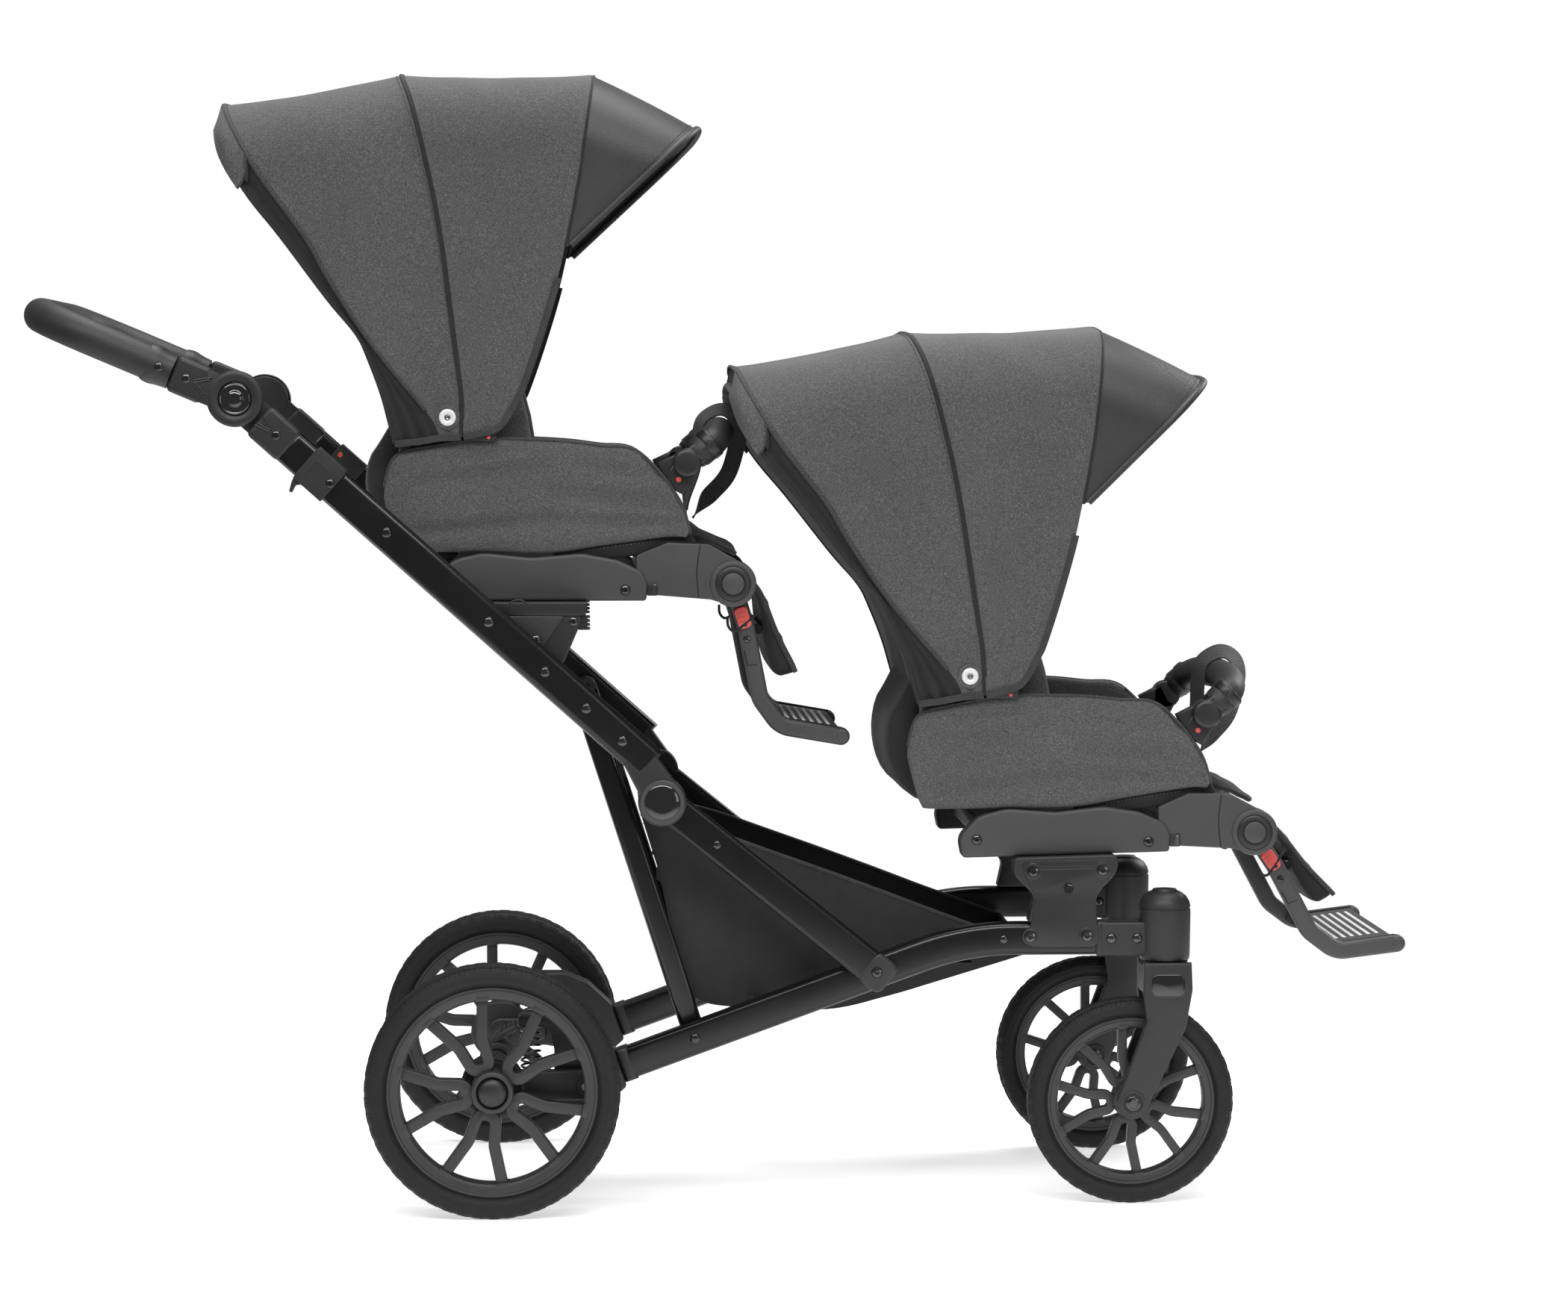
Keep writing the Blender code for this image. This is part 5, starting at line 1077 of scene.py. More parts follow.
def strut(side, s):
    inner, outer = strutBar["inner"], strutBar["outer"]
    bar = ribbon([pivots["strutFoot"], pivots["strutHead"]], strutBar["depth"])
    made = piece("paint").plate(bar, s * inner, s * outer, 0.006, 5)
    for point in (pivots["strutFoot"], pivots["strutHead"]):
        made.use("plastic").rod(point, strutBar["boss"], s * inner, s * outer, 36, 0.002)
        made.use("rivet").rivet(point, -inner, -s, 0.005, 0.002)
    made.done(f"strut_{side}", "struts", stands=[f"strut_{side}"])


slider = {"centre": 0.132, "length": 0.044, "wall": 0.0022, "gap": 0.0003}


def foldSlider(side, s):
    inner, outer, wall, gap = upper["inner"], upper["outer"], slider["wall"], slider["gap"]
    start = reach - slider["centre"] - slider["length"] / 2
    tip = start + slider["length"]        # the trigger stands at the end next to the hub
    hook = [onUpper(tip - back, across) for back, across in
            ((0, 0.019), (0.003, 0.029), (0.008, 0.039), (0.0115, 0.0385), (0.009, 0.029),
             (0.016, 0.0215), (0.018, 0.019))]
    faceted = [onUpper(start, 0.0215), onUpper(start + 0.004, 0.0238), onUpper(tip - 0.008, 0.0238),
               onUpper(tip, 0.0216), onUpper(tip, -0.0216), onUpper(tip - 0.006, -0.0238),
               onUpper(start + 0.01, -0.0238), onUpper(start, -0.0215)]
    made = piece("plastic")
    for low, high in ((inner - wall - gap, inner - gap), (outer + gap, outer + wall + gap)):
        made.plate(rounded(faceted, 0.003, 4), s * low, s * high, 0.0009, 3)
    for across in (0.0226, -0.0226):
        rail = ribbon([onUpper(start + 0.001, across), onUpper(tip - 0.001, across)], 0.0026)
        made.plate(rail, s * (inner - wall), s * (outer + wall), 0.0009, 2)
    made.plate(rounded(hook[::-1], [0.001, 0.004, 0.004, 0.001, 0.001, 0.012, 0.001], 5), s * (inner + 0.003),
               s * (outer - 0.003), 0.0024, 3)
    face = outer + wall + gap
    panel = ribbon([onUpper(start + 0.008, 0.001), onUpper(tip - 0.01, 0.001)], 0.024)
    made.plate(rounded(panel, 0.002, 3), s * (face - 0.0004), s * (face + 0.0007), 0.0006, 1)
    made.use("rivet").screw(onUpper(start + 0.006, 0.0004), face + 0.0006, s, 0.0052)
    made.use("coral").disc(onUpper(start + 0.036, -0.012), wall + gap - inner, -s,
                           [(0, 0), (0.0034, 0), (0.0028, 0.0008), (0, 0.001)], 20)
    made.done(f"foldSlider_{side}", f"fold_slider_{side}", stands=[f"fold_slider_{side}"])


def rearDock(side, s):
    top, outer = mount["shelf"], upper["inner"] - 0.0003
    flange = [(-0.045, top - 0.016), (0.111, top - 0.016), (0.1126, top), (-0.045, top)]
    web = [(-0.04, top - 0.008), (0.03, 0.67), (0.064, 0.634), (0.074, 0.636), (0.086, 0.652),
           (0.11, top - 0.012)]
    cheek = [(-0.04, top - 0.016), (0.031, 0.669), (0.056, 0.662), (0.086, top - 0.016)]
    washer = [(0, 0), (0.009, 0), (0.0088, 0.0006), (0.007, 0.0008), (0.0066, 0.0002), (0, 0.0002)]
    flange = rounded(flange, [0.004, 0.004, 0.0015, 0.0015], 5)
    web = rounded(web, [0.01, 0.03, 0.012, 0.006, 0.02, 0.008], 6)
    cheek = rounded(cheek, [0.002, 0.004, 0.004, 0.002], 4)
    made = piece("darkPlastic").plate(flange, s * 0.186, s * outer, 0.0022, 3)
    made.plate(web, s * 0.2106, s * (outer - 0.002), 0.003, 3)
    made.use("plastic").plate(cheek, s * (outer - 0.003), s * outer, 0.0012, 2)
    recess = arc((0.031, top - 0.012), 0.015, math.radians(25), math.radians(155), 16)
    made.tube(atWidth(recess, s * (outer + 0.0001)), 0.0007, 8)
    hinge = (0.052, 0.676)
    made.use("softBlack").disc(hinge, outer - 0.0003, s, washer, 40)
    made.use("rivet").screw(hinge, outer, s, 0.0054)
    made.screw((0.096, 0.6975), outer - 0.0022, s, 0.0052)
    made.use("softBlack")        # the ribbed knob behind the plate
    for k in range(4):
        made.box((0.1085, s * (outer - 0.011), 0.703 - 0.0046 * k), (0.014, 0.015, 0.003), 0.0008, 1)
    made.box((0.107, s * (outer - 0.011), 0.696), (0.011, 0.013, 0.017), 0.0012, 1)
    made.use("rivet").bolt((-0.03, 0.7123), outer - 0.0002, s, 0.0034, 0.0012)
    made.done(f"rearDock_{side}", "upper_frame", stands=[f"rear_dock_{side}"])


for side, s in sides:
    for make in (lowerLink, upperTube, strut, foldSlider, rearDock):
        make(side, s)
crossTube = piece("paint").rod(pivots["hub"], 0.011, -0.216, 0.216, 40)
crossTube.done("hubCrossTube", "lower_link", stands=["hub_cross_tube"])
print("folding frame made")


# Handle

handle = {"angle": math.radians(157.1), "start": 0.1, "reach": 0.254, "bend": 0.08, "y": 0.232,
          "grip": 0.0205, "seam": 0.02, "sleeve": (0.036, 0.0785), "sleeveDepth": 0.044,
          "collar": (0.08, 0.113), "collarRadius": 0.0222,
          "collarSwell": [0.93, 0.94, 0.95, 0.97, 1.0, 1.04, 1.05, 1.03, 0.98], "hub": 0.033, "button": 0.019}


def onHandle(forward, y=0.0):
    x, z = along(handleHub, handle["angle"], forward)
    return (x, y, z)


def handlePoint(forward):        # the same in the side view
    return along(handleHub, handle["angle"], forward)


def gripPlan():        # (forward, y) round the bent grip, from the right end to the left
    start, far, bend, y = handle["start"], handle["reach"], handle["bend"], handle["y"]
    side = [(start + (far - bend - start) * i / 8, -y) for i in range(9)]
    across = [(far, -y + bend + 2 * (y - bend) * i / 24) for i in range(1, 24)]
    plan = side + arc((far - bend, -y + bend), bend, -math.pi / 2, 0, 16)[1:] + across
    plan += arc((far - bend, y - bend), bend, 0, math.pi / 2, 16)
    return plan + [(far - bend - (far - bend - start) * i / 8, y) for i in range(1, 9)]


def handlebar():
    plan = gripPlan()
    made = piece("grip").tube([onHandle(f, y) for f, y in plan], handle["grip"], 28)
    inside = []
    for i, (f, y) in enumerate(plan):        # the sewn seam on the inner side of the grip
        a, b = plan[max(i - 1, 0)], plan[min(i + 1, len(plan) - 1)]
        turn = heading(a, b) + math.pi / 2
        inside.append(onHandle(f + math.cos(turn) * handle["seam"], y + math.sin(turn) * handle["seam"]))
    made.use("cloth").tube(inside, 0.0011, 6)
    made.use("tape").stitches(shifted(inside, 0, 0, 0.0024), "heavy", 0.006)
    outer, halfLap, y, hub = upper["outer"], lap + 0.00015, handle["y"], handle["hub"]
    first, last = handle["collar"]
    start, end = handle["sleeve"]
    sleeve = rounded(ribbon([handlePoint(start), handlePoint(end)], handle["sleeveDepth"]), 0.006, 6)
    tongue = ribbon([handlePoint(0.0206), handlePoint(start + 0.006)], 0.04)
    drum = [(0, 0), (0.0322, 0), (hub, 0.001), (hub, 0.0068), (0.0318, 0.0084), (0.029, 0.0093),
            (0.0236, 0.0095), (0.0226, 0.0088), (0.02, 0.0084), (0.0197, 0.0028), (0, 0.0028)]
    for s in bothSides:
        run = [onHandle(first + (last - first) * k / 8, s * (y - 0.003)) for k in range(9)]
        made.use("plastic").tube(run, handle["collarRadius"], 36, handle["collarSwell"])
        made.use("rivet").screw(handlePoint(0.0955), y + 0.019, s, 0.0052)
        made.use("plastic").plate(sleeve, s * (y - 0.015), s * (outer - 0.0002), 0.007, 5)
        moulding(made, handleHub, handle["angle"], 0.034, 0.052, 0.0125, outer, s)
        made.use("rivet").screw(handlePoint(0.061), outer - 0.0004, s, 0.0052)
        made.use("plastic").plate(tongue, s * (halfLap + 0.0004), s * (outer - 0.0008), 0.0012, 2)
        made.disc(handleHub, halfLap, s, drum, 80)
    made.done("handlebar_grip", "handlebar", stands=["handlebar"])


def handleButton(side, s):
    face = [(0, -0.0029), (handle["button"], -0.0029), (handle["button"], 0.0002), (0.0182, 0.0014),
            (0.0168, 0.0019), (0.0152, 0.0013), (0.012, 0.0008), (0.0098, 0.001), (0.0088, 0.0018),
            (0.006, 0.003), (0, 0.0036)]
    made = piece("gloss").disc(handleHub, upper["outer"], s, face, 72)
    made.done(f"handleButton_{side}", f"handle_button_{side}", stands=[f"handle_button_{side}"])


handlebar()
for side, s in sides:
    handleButton(side, s)
print("handle made")


# Seats, drawn for the rear one and carried to each place

seatShape = {
    "cover": [(-0.066, 0.7206), (0.182, 0.7206), (0.184, 0.74), (0.178, 0.755), (0.148, 0.769),
              (0.105, 0.7766), (0.047, 0.7717), (-0.011, 0.7776), (-0.045, 0.77), (-0.07, 0.745)],
    "coverRound": [0.006, 0.004, 0.004, 0.014, 0.04, 0.04, 0.06, 0.05, 0.03, 0.02],
    "rail": [(0.17, 0.729), (0.2584, 0.7218), (0.2849, 0.7134), (0.305, 0.76), (0.257, 0.7873),
             (0.2073, 0.7894), (0.17, 0.774)],
    "railRound": [0.002, 0.01, 0.01, 0.02, 0.016, 0.01, 0.004],
    "inner": 0.168, "outer": 0.2, "hub": (0.2849, 0.7406), "hubRadius": 0.0277,
    "seam": [(0.244, 0.724), (0.242, 0.756), (0.246, 0.787)],
    "screws": [(-0.048, 0.742), (0.1572, 0.7336)], "crossTubes": [(-0.04, 0.748), (0.176, 0.754)],
}


def seatFrame(prefix, move):
    inner, outer, hub, size = [seatShape[key] for key in ("inner", "outer", "hub", "hubRadius")]
    latch = [(0.1828, 0.7265), (0.1952, 0.7265), (0.1952, 0.7411), (0.1828, 0.7411)]
    tongue = [(0.1872, 0.7285), (0.194, 0.7285), (0.194, 0.7395), (0.19, 0.7395)]
    drum = [(0, 0), (size, 0), (size, 0.028), (0.0268, 0.0306), (0.025, 0.0316), (0.0214, 0.0316),
            (0.0206, 0.0306), (0, 0.0306)]
    ring = [(0.0203, -0.0016), (0.0203, 0.0002), (0.0192, 0.001), (0.0146, 0.0012), (0.0138, 0.0004),
            (0, 0.0004)]
    cap = [(0.0128, 0.0002), (0.0128, 0.0012), (0.0118, 0.0018), (0, 0.0021)]
    recess_painted_shade = [(0, -0.0002), (0.0066, -0.0002), (0.0066, 0.0003), (0, 0.0003)]
    cover = rounded(seatShape["cover"], seatShape["coverRound"], 7)
    rail = rounded(seatShape["rail"], seatShape["railRound"], 6)
    made = piece("coverPlastic")
    for at in seatShape["crossTubes"]:
        made.use("paint").rod(at, 0.009, -inner - 0.004, inner + 0.004, 28)
    for s in bothSides:
        made.use("coverPlastic").plate(cover, s * inner, s * outer, 0.0055, 5)
        made.plate(rail, s * inner, s * (outer - 0.003), 0.005, 5)
        made.use("softBlack").tube(atWidth(smoothPath(seatShape["seam"], 6), s * (outer - 0.0034)), 0.0009, 6)
        made.use("darkPlastic")
        made.plate(rounded(latch, 0.0015, 4), s * (outer - 0.006), s * (outer - 0.0008), 0.0008, 2)
        made.use("steel")
        made.plate(rounded(tongue, 0.001, 3), s * (outer - 0.0012), s * (outer - 0.0002), 0.0004, 1)
        made.use("coverPlastic").disc(hub, inner, s, drum, 72)
        made.use("darkPlastic").disc(hub, outer, s, ring, 64)
        made.use("coverPlastic").disc(hub, outer, s, cap, 48)
        for at in seatShape["screws"]:
            # a flat dark disc round each screw: painted shade standing for a recess in the cover
            made.use("softBlack").disc(at, outer, s, recess_painted_shade, 32)
            made.use("rivet").screw(at, outer - 0.0002, s, 0.0052)
    made.done(f"{prefix}_seatFrame", f"{prefix}_seat", move, stands=[f"{prefix}_seat_frame"])


panelShape = {
    "bottom": [(-0.113, 0.779), (-0.02, 0.7782), (0.072, 0.777), (0.124, 0.785), (0.164, 0.7905),
               (0.208, 0.796), (0.231, 0.795)],
    "top": [(-0.128, 0.8403), (-0.124, 0.87), (-0.11, 0.8951), (-0.07, 0.904), (-0.017, 0.912),
            (0.02, 0.9125), (0.082, 0.9097), (0.128, 0.904), (0.1745, 0.8965), (0.221, 0.8415),
            (0.234, 0.8)],
    "inner": 0.1735, "outer": 0.1972, "welt": 0.1925,
    "band": [(0.05, 0.769), (0.13, 0.769), (0.2, 0.777), (0.245, 0.786), (0.234, 0.801),
             (0.164, 0.796), (0.1, 0.785)],
    "hem": [(0.108, 0.7795), (0.15, 0.7855), (0.2, 0.7915)], "bandAt": (0.16, 0.188), "hemAt": 0.1884,
    "frontAt": (0.176, 0.1945), "ventAt": (0.1685, 0.173),        # distances from the middle plane
    "front": [(0.233, 0.8), (0.2325, 0.808), (0.22, 0.84), (0.199, 0.866), (0.1765, 0.8925)],
    "vent": [(-0.112, 0.87), (-0.098, 0.874), (-0.096, 0.91), (-0.11, 0.906)],
    "folds": [((-0.1, 0.8), (0.072, 0.816), 0.0085, 0.006),        # from, to, width, depth
              ((0.06, 0.816), (0.226, 0.812), 0.0075, 0.0062),
              ((0.072, 0.847), (0.222, 0.834), 0.0095, 0.0066),
              ((-0.092, 0.858), (0.068, 0.88), 0.009, 0.0056),
              ((-0.07, 0.893), (0.04, 0.9), 0.006, 0.004),
              ((0.1, 0.88), (0.2, 0.866), 0.008, 0.0034)],
}


def foldDepth(x, z, folds):        # soft creases along short side-view lines
    depth = 0.0
    for a, b, wide, deep in folds:
        share = ((x - a[0]) * (b[0] - a[0]) + (z - a[1]) * (b[1] - a[1])) / span(a, b) ** 2
        t = min(max(share, 0.0), 1.0)
        gap = span((x, z), between(a, b, t)) / wide
        depth += deep * math.exp(-gap * gap) * (0.35 + 0.65 * math.sin(math.pi * min(max(t, 0.02), 0.98)))
    return depth


def sidePanel(prefix, move, side, s):
    bottom, top = smoothPath(panelShape["bottom"], 5), smoothPath(panelShape["top"], 5)
    welt, hemAt = s * panelShape["welt"], s * panelShape["hemAt"]
    bandAt, frontAt, ventAt = [[s * y for y in panelShape[key]] for key in ("bandAt", "frontAt", "ventAt")]

    def relief(x, y, z, u):
        out = smoothStep((abs(y) - 0.185) / 0.01)
        drop = foldDepth(x, z, panelShape["folds"]) * out
        swell = noise.noise(Vector((x * 22, s * 3, z * 30))) * 0.0011 * out
        return (x, y - s * drop + s * swell, z)

    made = piece("melange")
    made.pad(bottom, top, s * panelShape["inner"], s * panelShape["outer"], (120, 96), 0.38, 12.0, relief)
    upperRun = sampled(pathOf(smoothPath(panelShape["top"], 6)), 60, 2)
    made.use("darkMelange").tube(atWidth(upperRun, welt, -0.0004), 0.0018, 8)
    made.use("cloth").plate(rounded(panelShape["band"], 0.006, 5), *bandAt, 0.004, 4)
    made.use("mesh").stitches(atWidth(smoothPath(panelShape["hem"], 12), hemAt), "fine", 0.0046)
    edge = smoothPath(panelShape["front"], 8)
    made.use("darkMelange").tube(atWidth(edge, welt), 0.0022, 8)
    made.use("softBlack").plate(ribbon(edge[-9:], 0.006), *frontAt, 0.002, 2)
    made.use("mesh").plate(rounded(panelShape["vent"], 0.003, 3), *ventAt, 0.0012, 2)
    made.done(f"{prefix}_sidePanel_{side}", f"{prefix}_seat", move, smooth=60,
              stands=[f"{prefix}_seat_shell"])


cushionShape = {
    "bottom": [(-0.056, 0.7785), (0.174, 0.7785), (0.2, 0.7905), (0.23, 0.7905)],
    "top": [(-0.056, 0.812), (-0.04, 0.82), (0.02, 0.8245), (0.09, 0.8262), (0.16, 0.8238),
            (0.218, 0.82), (0.232, 0.809)],
    "half": 0.17, "channels": [0.03, 0.11, 0.18], "channelDepth": 0.0042, "crown": 0.002,
}
apronShape = {
    "over": [(0.21, 0.818), (0.234, 0.812), (0.252, 0.8), (0.274, 0.788), (0.288, 0.782),
             (0.294, 0.7745)],
    "under": [(0.21, 0.786), (0.24, 0.787), (0.26, 0.785), (0.276, 0.778), (0.285, 0.7745),
              (0.289, 0.771)],
    "half": 0.159,
}


def seatCushion(prefix, move):
    half = cushionShape["half"]

    def relief(x, y, z, u):
        groove = sum(math.exp(-((x - at) / 0.0075) ** 2) for at in cushionShape["channels"])
        up = smoothStep((z - 0.8) / 0.012)
        crown = cushionShape["crown"] * (1 - (y / half) ** 2)
        lift = up * 0.0009 * noise.noise(Vector((x, y, z)) * 28)
        return (x, y, z - up * (cushionShape["channelDepth"] * groove - crown) + lift)

    bottom, top = smoothPath(cushionShape["bottom"], 5), smoothPath(cushionShape["top"], 5)
    made = piece("darkMelange").pad(bottom, top, -half, half, (96, 96), 0.42, 9.0, relief)
    for at in cushionShape["channels"]:
        line = [(at, -0.15 + 0.3 * i / 20, 0.8222 - 0.001 * abs(i - 10) / 10) for i in range(21)]
        made.use("tape").stitches(line, "plain", 0.0062)
    pad = made.done(f"{prefix}_cushion", f"{prefix}_seat", move, smooth=60, stands=[f"{prefix}_seat_shell"])


def bumperSockets(prefix, move):        # the sockets of the bumper bar
    made = piece("darkPlastic")
    pivot, inner = bumperShape["pivot"], 0.1725
    button = [(0, 0), (0.0034, 0), (0.0028, 0.0009), (0, 0.0012)]
    for s in bothSides:
        made.plate(ribbon([(0.201, 0.87), pivot], 0.03), s * inner, s * 0.1872, 0.003, 3)
        made.plate(ribbon([(0.214, 0.852), (0.229, 0.88)], 0.029), s * inner, s * 0.1885, 0.003, 3)
        made.plate(circle(pivot, 0.017), s * inner, s * 0.1847, 0.0018, 3)
        made.use("coral").disc((0.2208, 0.864), 0.1884, s, button, 20)
        made.use("darkPlastic").rod((0.223, 0.88), 0.005, s * 0.186, s * 0.193, 20)
    made.done(f"{prefix}_bumperSockets", f"{prefix}_seat", move, stands=[f"{prefix}_seat_shell"])


def seatApron(prefix, move):
    def ripple(x, y, z, u):
        out = 0.0022 * noise.noise(Vector((x * 30, y * 9, 2.0)))
        return (x + out, y, z + out)

    half = apronShape["half"]
    under, over = [smoothPath(apronShape[key], 5) for key in ("under", "over")]
    made = piece("cloth").pad(under, over, -half, half, (48, 60), 0.3, 10.0, ripple)
    made.done(f"{prefix}_seatApron", f"{prefix}_seat", move, smooth=60,
              stands=[f"{prefix}_seat_shell"])


backShape = {
    "front": [(-0.086, 0.786), (-0.072, 0.8), (-0.064, 0.86), (-0.07, 0.93), (-0.102, 1.02),
              (-0.142, 1.102), (-0.18, 1.18), (-0.206, 1.2)],
    "back": [(-0.11, 0.782), (-0.14, 0.81), (-0.152, 0.85), (-0.148, 0.888), (-0.131, 0.916),
             (-0.12, 0.956), (-0.176, 1.07), (-0.24, 1.196)],
    "wing": [(-0.108, 0.886), (-0.03, 0.88), (0.04, 0.88), (0.0478, 0.905), (0.042, 0.94),
             (0.029, 0.988), (0.0, 1.024), (-0.05, 1.04), (-0.128, 1.03), (-0.108, 0.956)],
    "half": 0.167, "channels": [0.18, 0.34, 0.5, 0.66, 0.82], "channelDepth": 0.0036, "crown": 0.0022,
    "hinge": (-0.095, 0.798), "strapAt": 0.052, "strap": 0.026, "strapPad": 0.046,
}


def backrest(prefix, move):
    body, nodes, half = f"{prefix}_backrest", [f"{prefix}_backrest"], backShape["half"]
    front, back = [pathOf(smoothPath(backShape[key], 5)) for key in ("front", "back")]
    middle = sampled(lambda t: between(front(t), back(t), 0.42), 40)

    def quilting(x, y, z, u):
        groove = sum(math.exp(-((u - at) / 0.014) ** 2) for at in backShape["channels"])
        inside = max(1 - (y / half) ** 6, 0)
        return (x - (backShape["channelDepth"] * groove * inside - backShape["crown"] * inside), y, z)

    def drape(x, y, z, u):
        ripple = 0.0022 * noise.noise(Vector((x * 14, y * 10, z * 14)))
        return (x + ripple, y, z + ripple)

    pad = piece("darkMelange").pad(sampled(front, 40), middle, -half, half, (96, 72), 0.4, 10.0, quilting)
    pad.done(f"{prefix}_backPad", body, move, smooth=60, stands=nodes)
    shell = piece("cloth").pad(middle, sampled(back, 40), -half, half, (80, 64), 0.36, 10.0, drape)
    for s in bothSides:
        shell.use("darkPlastic").rod(backShape["hinge"], 0.009, s * 0.148, s * 0.1715, 24)
        shell.use("melange").plate(rounded(backShape["wing"], 0.012, 5), s * 0.15, s * 0.1665, 0.006, 4)
        shell.use("darkPlastic").rod(hoodShape["snap"], 0.008, s * 0.152, s * 0.1985, 24)
    shell.done(f"{prefix}_backShell", body, move, smooth=60, stands=nodes)

    straps = piece("tape")
    line = [along(front(t), 0, 0.0042 + 0.0024 * math.sin(math.pi * t))
            for t in (0.3, 0.42, 0.54, 0.66, 0.76)]
    run = pathOf(smoothPath(line, 8))
    for s in bothSides:        # shoulder straps with their pads, lying on the back pad
        def strap(u, v, wide=backShape["strap"], out=0.0):
            x, z = run(v)
            return (x + out, s * backShape["strapAt"] + (u - 0.5) * wide, z)

        def strapPad(u, v):
            return strap(u, 0.28 + 0.52 * v, backShape["strapPad"], 0.0044)

        straps.use("tape").surface(4, 40, strap, thick=0.0014)
        straps.use("cloth").surface(8, 30, strapPad, thick=0.005)
    straps.done(f"{prefix}_shoulderStraps", body, move, smooth=50)


# Hoods

hoodShape = {
    "half": 0.203, "corner": 0.085, "crown": 0.006, "cloth": 0.0016, "snap": (-0.0517, 0.9373),
    "back": [(-0.1138, 0.906), (-0.12, 0.93), (-0.129, 0.964), (-0.144, 1.005), (-0.158, 1.0347),
             (-0.192, 1.076), (-0.2462, 1.1487), (-0.286, 1.199), (-0.312, 1.245), (-0.322, 1.283)],
    "bow1": [(-0.061, 0.913), (-0.067, 0.93), (-0.0858, 0.956), (-0.1218, 0.9993), (-0.158, 1.0484),
             (-0.1941, 1.1054), (-0.2181, 1.1487), (-0.2702, 1.2195), (-0.304, 1.276), (-0.318, 1.3074)],
    "bow2": [(-0.036, 0.914), (-0.0364, 0.96), (-0.0409, 0.9993), (-0.0477, 1.0544), (-0.0577, 1.133),
             (-0.0697, 1.2037), (-0.092, 1.3), (-0.108, 1.3437)],
    "frontEdge": [(0.001, 0.9215), (0.01, 0.927), (0.0185, 0.9384), (0.0306, 0.96), (0.0365, 0.9717),
                  (0.0506, 1.0111), (0.0646, 1.0544), (0.0767, 1.0956), (0.085, 1.13), (0.099, 1.195),
                  (0.113, 1.265), (0.119, 1.345)],
    "flap": (0.262, 0.09), "flapRoot": (-0.087, 0.9085),        # where it starts along the bow, and its width
    "visorLow": (0.088, 1.138), "visorSeam": [(0.096, 1.176), (0.105, 1.224), (0.1212, 1.343)],
    "visorTip": (0.244, 1.28), "visorThick": 0.0022, "tape": 0.008,
    "clip": [(-0.033, 0.93), (0.006, 0.93), (0.006, 0.9085), (-0.026, 0.91)],
}


def bow(path, corner=None):        # up the right side along a side-view path, over, and down the left
    corner = corner or hoodShape["corner"]
    run = pathOf(path)
    length = sum(span(a, b) for a, b in zip(path, path[1:]))
    straight = 1 - corner / length
    tip = heading(path[-2], path[-1])
    half, rest = hoodShape["half"], hoodShape["half"] - corner
    turnAt, topAt = 0.52, 0.76        # shares of a half bow where its corner starts and ends

    def read(t):
        right = t <= 0.5
        t = 2 * min(t, 1 - t)
        if t < turnAt:
            share, y, lift = straight * t / turnAt, half, 0.0
        elif t < topAt:
            a = (t - turnAt) / 0.24 * math.pi / 2
            share, y, lift = straight + (1 - straight) * math.sin(a), rest + corner * math.cos(a), 0.0
        else:
            y = rest * (1 - (t - topAt) / 0.24)
            share, lift = 1.0, hoodShape["crown"] * (1 - (y / rest) ** 2)
        x, z = along(run(share), tip, lift)
        return Vector((x, -y if right else y, z))

    return read


def stretched(first, last, sag, wrinkle, seed):        # cloth pulled between two bows
    middle = 1.08        # the height that the cloth is drawn in to

    def place(u, v):
        point = first(u).lerp(last(u), v)
        inward = (Vector((point.x, 0, middle + (point.z - middle) * 0.3)) - point).normalized()
        height = smoothStep(2 * min(u, 1 - u) / 0.8)
        draw = 4 * v * (1 - v)
        crease = noise.noise(Vector((u * 9 + seed, v * 3.5, seed)))
        crease += 0.5 * noise.noise(Vector((u * 26, v * 5, seed)))
        return point + inward * (sag * draw * (0.25 + 0.75 * height) + wrinkle * crease * draw)

    return place


def hoodTape(made, line, side):        # binding tape, folded over a cloth edge at the hood's side
    half = hoodShape["half"]
    made.use("tape").plate(ribbon(line, hoodShape["tape"]), side * (half - 0.0016), side * (half + 0.0018),
                           0.0009, 2)
    inner = [along(p, heading(line[max(i - 1, 0)], line[min(i + 1, len(line) - 1)]), 0, 0.0024)
             for i, p in enumerate(line)]
    made.use("darkMelange").stitches(atWidth(inner, side * (half + 0.0019)), "fine", 0.0048)


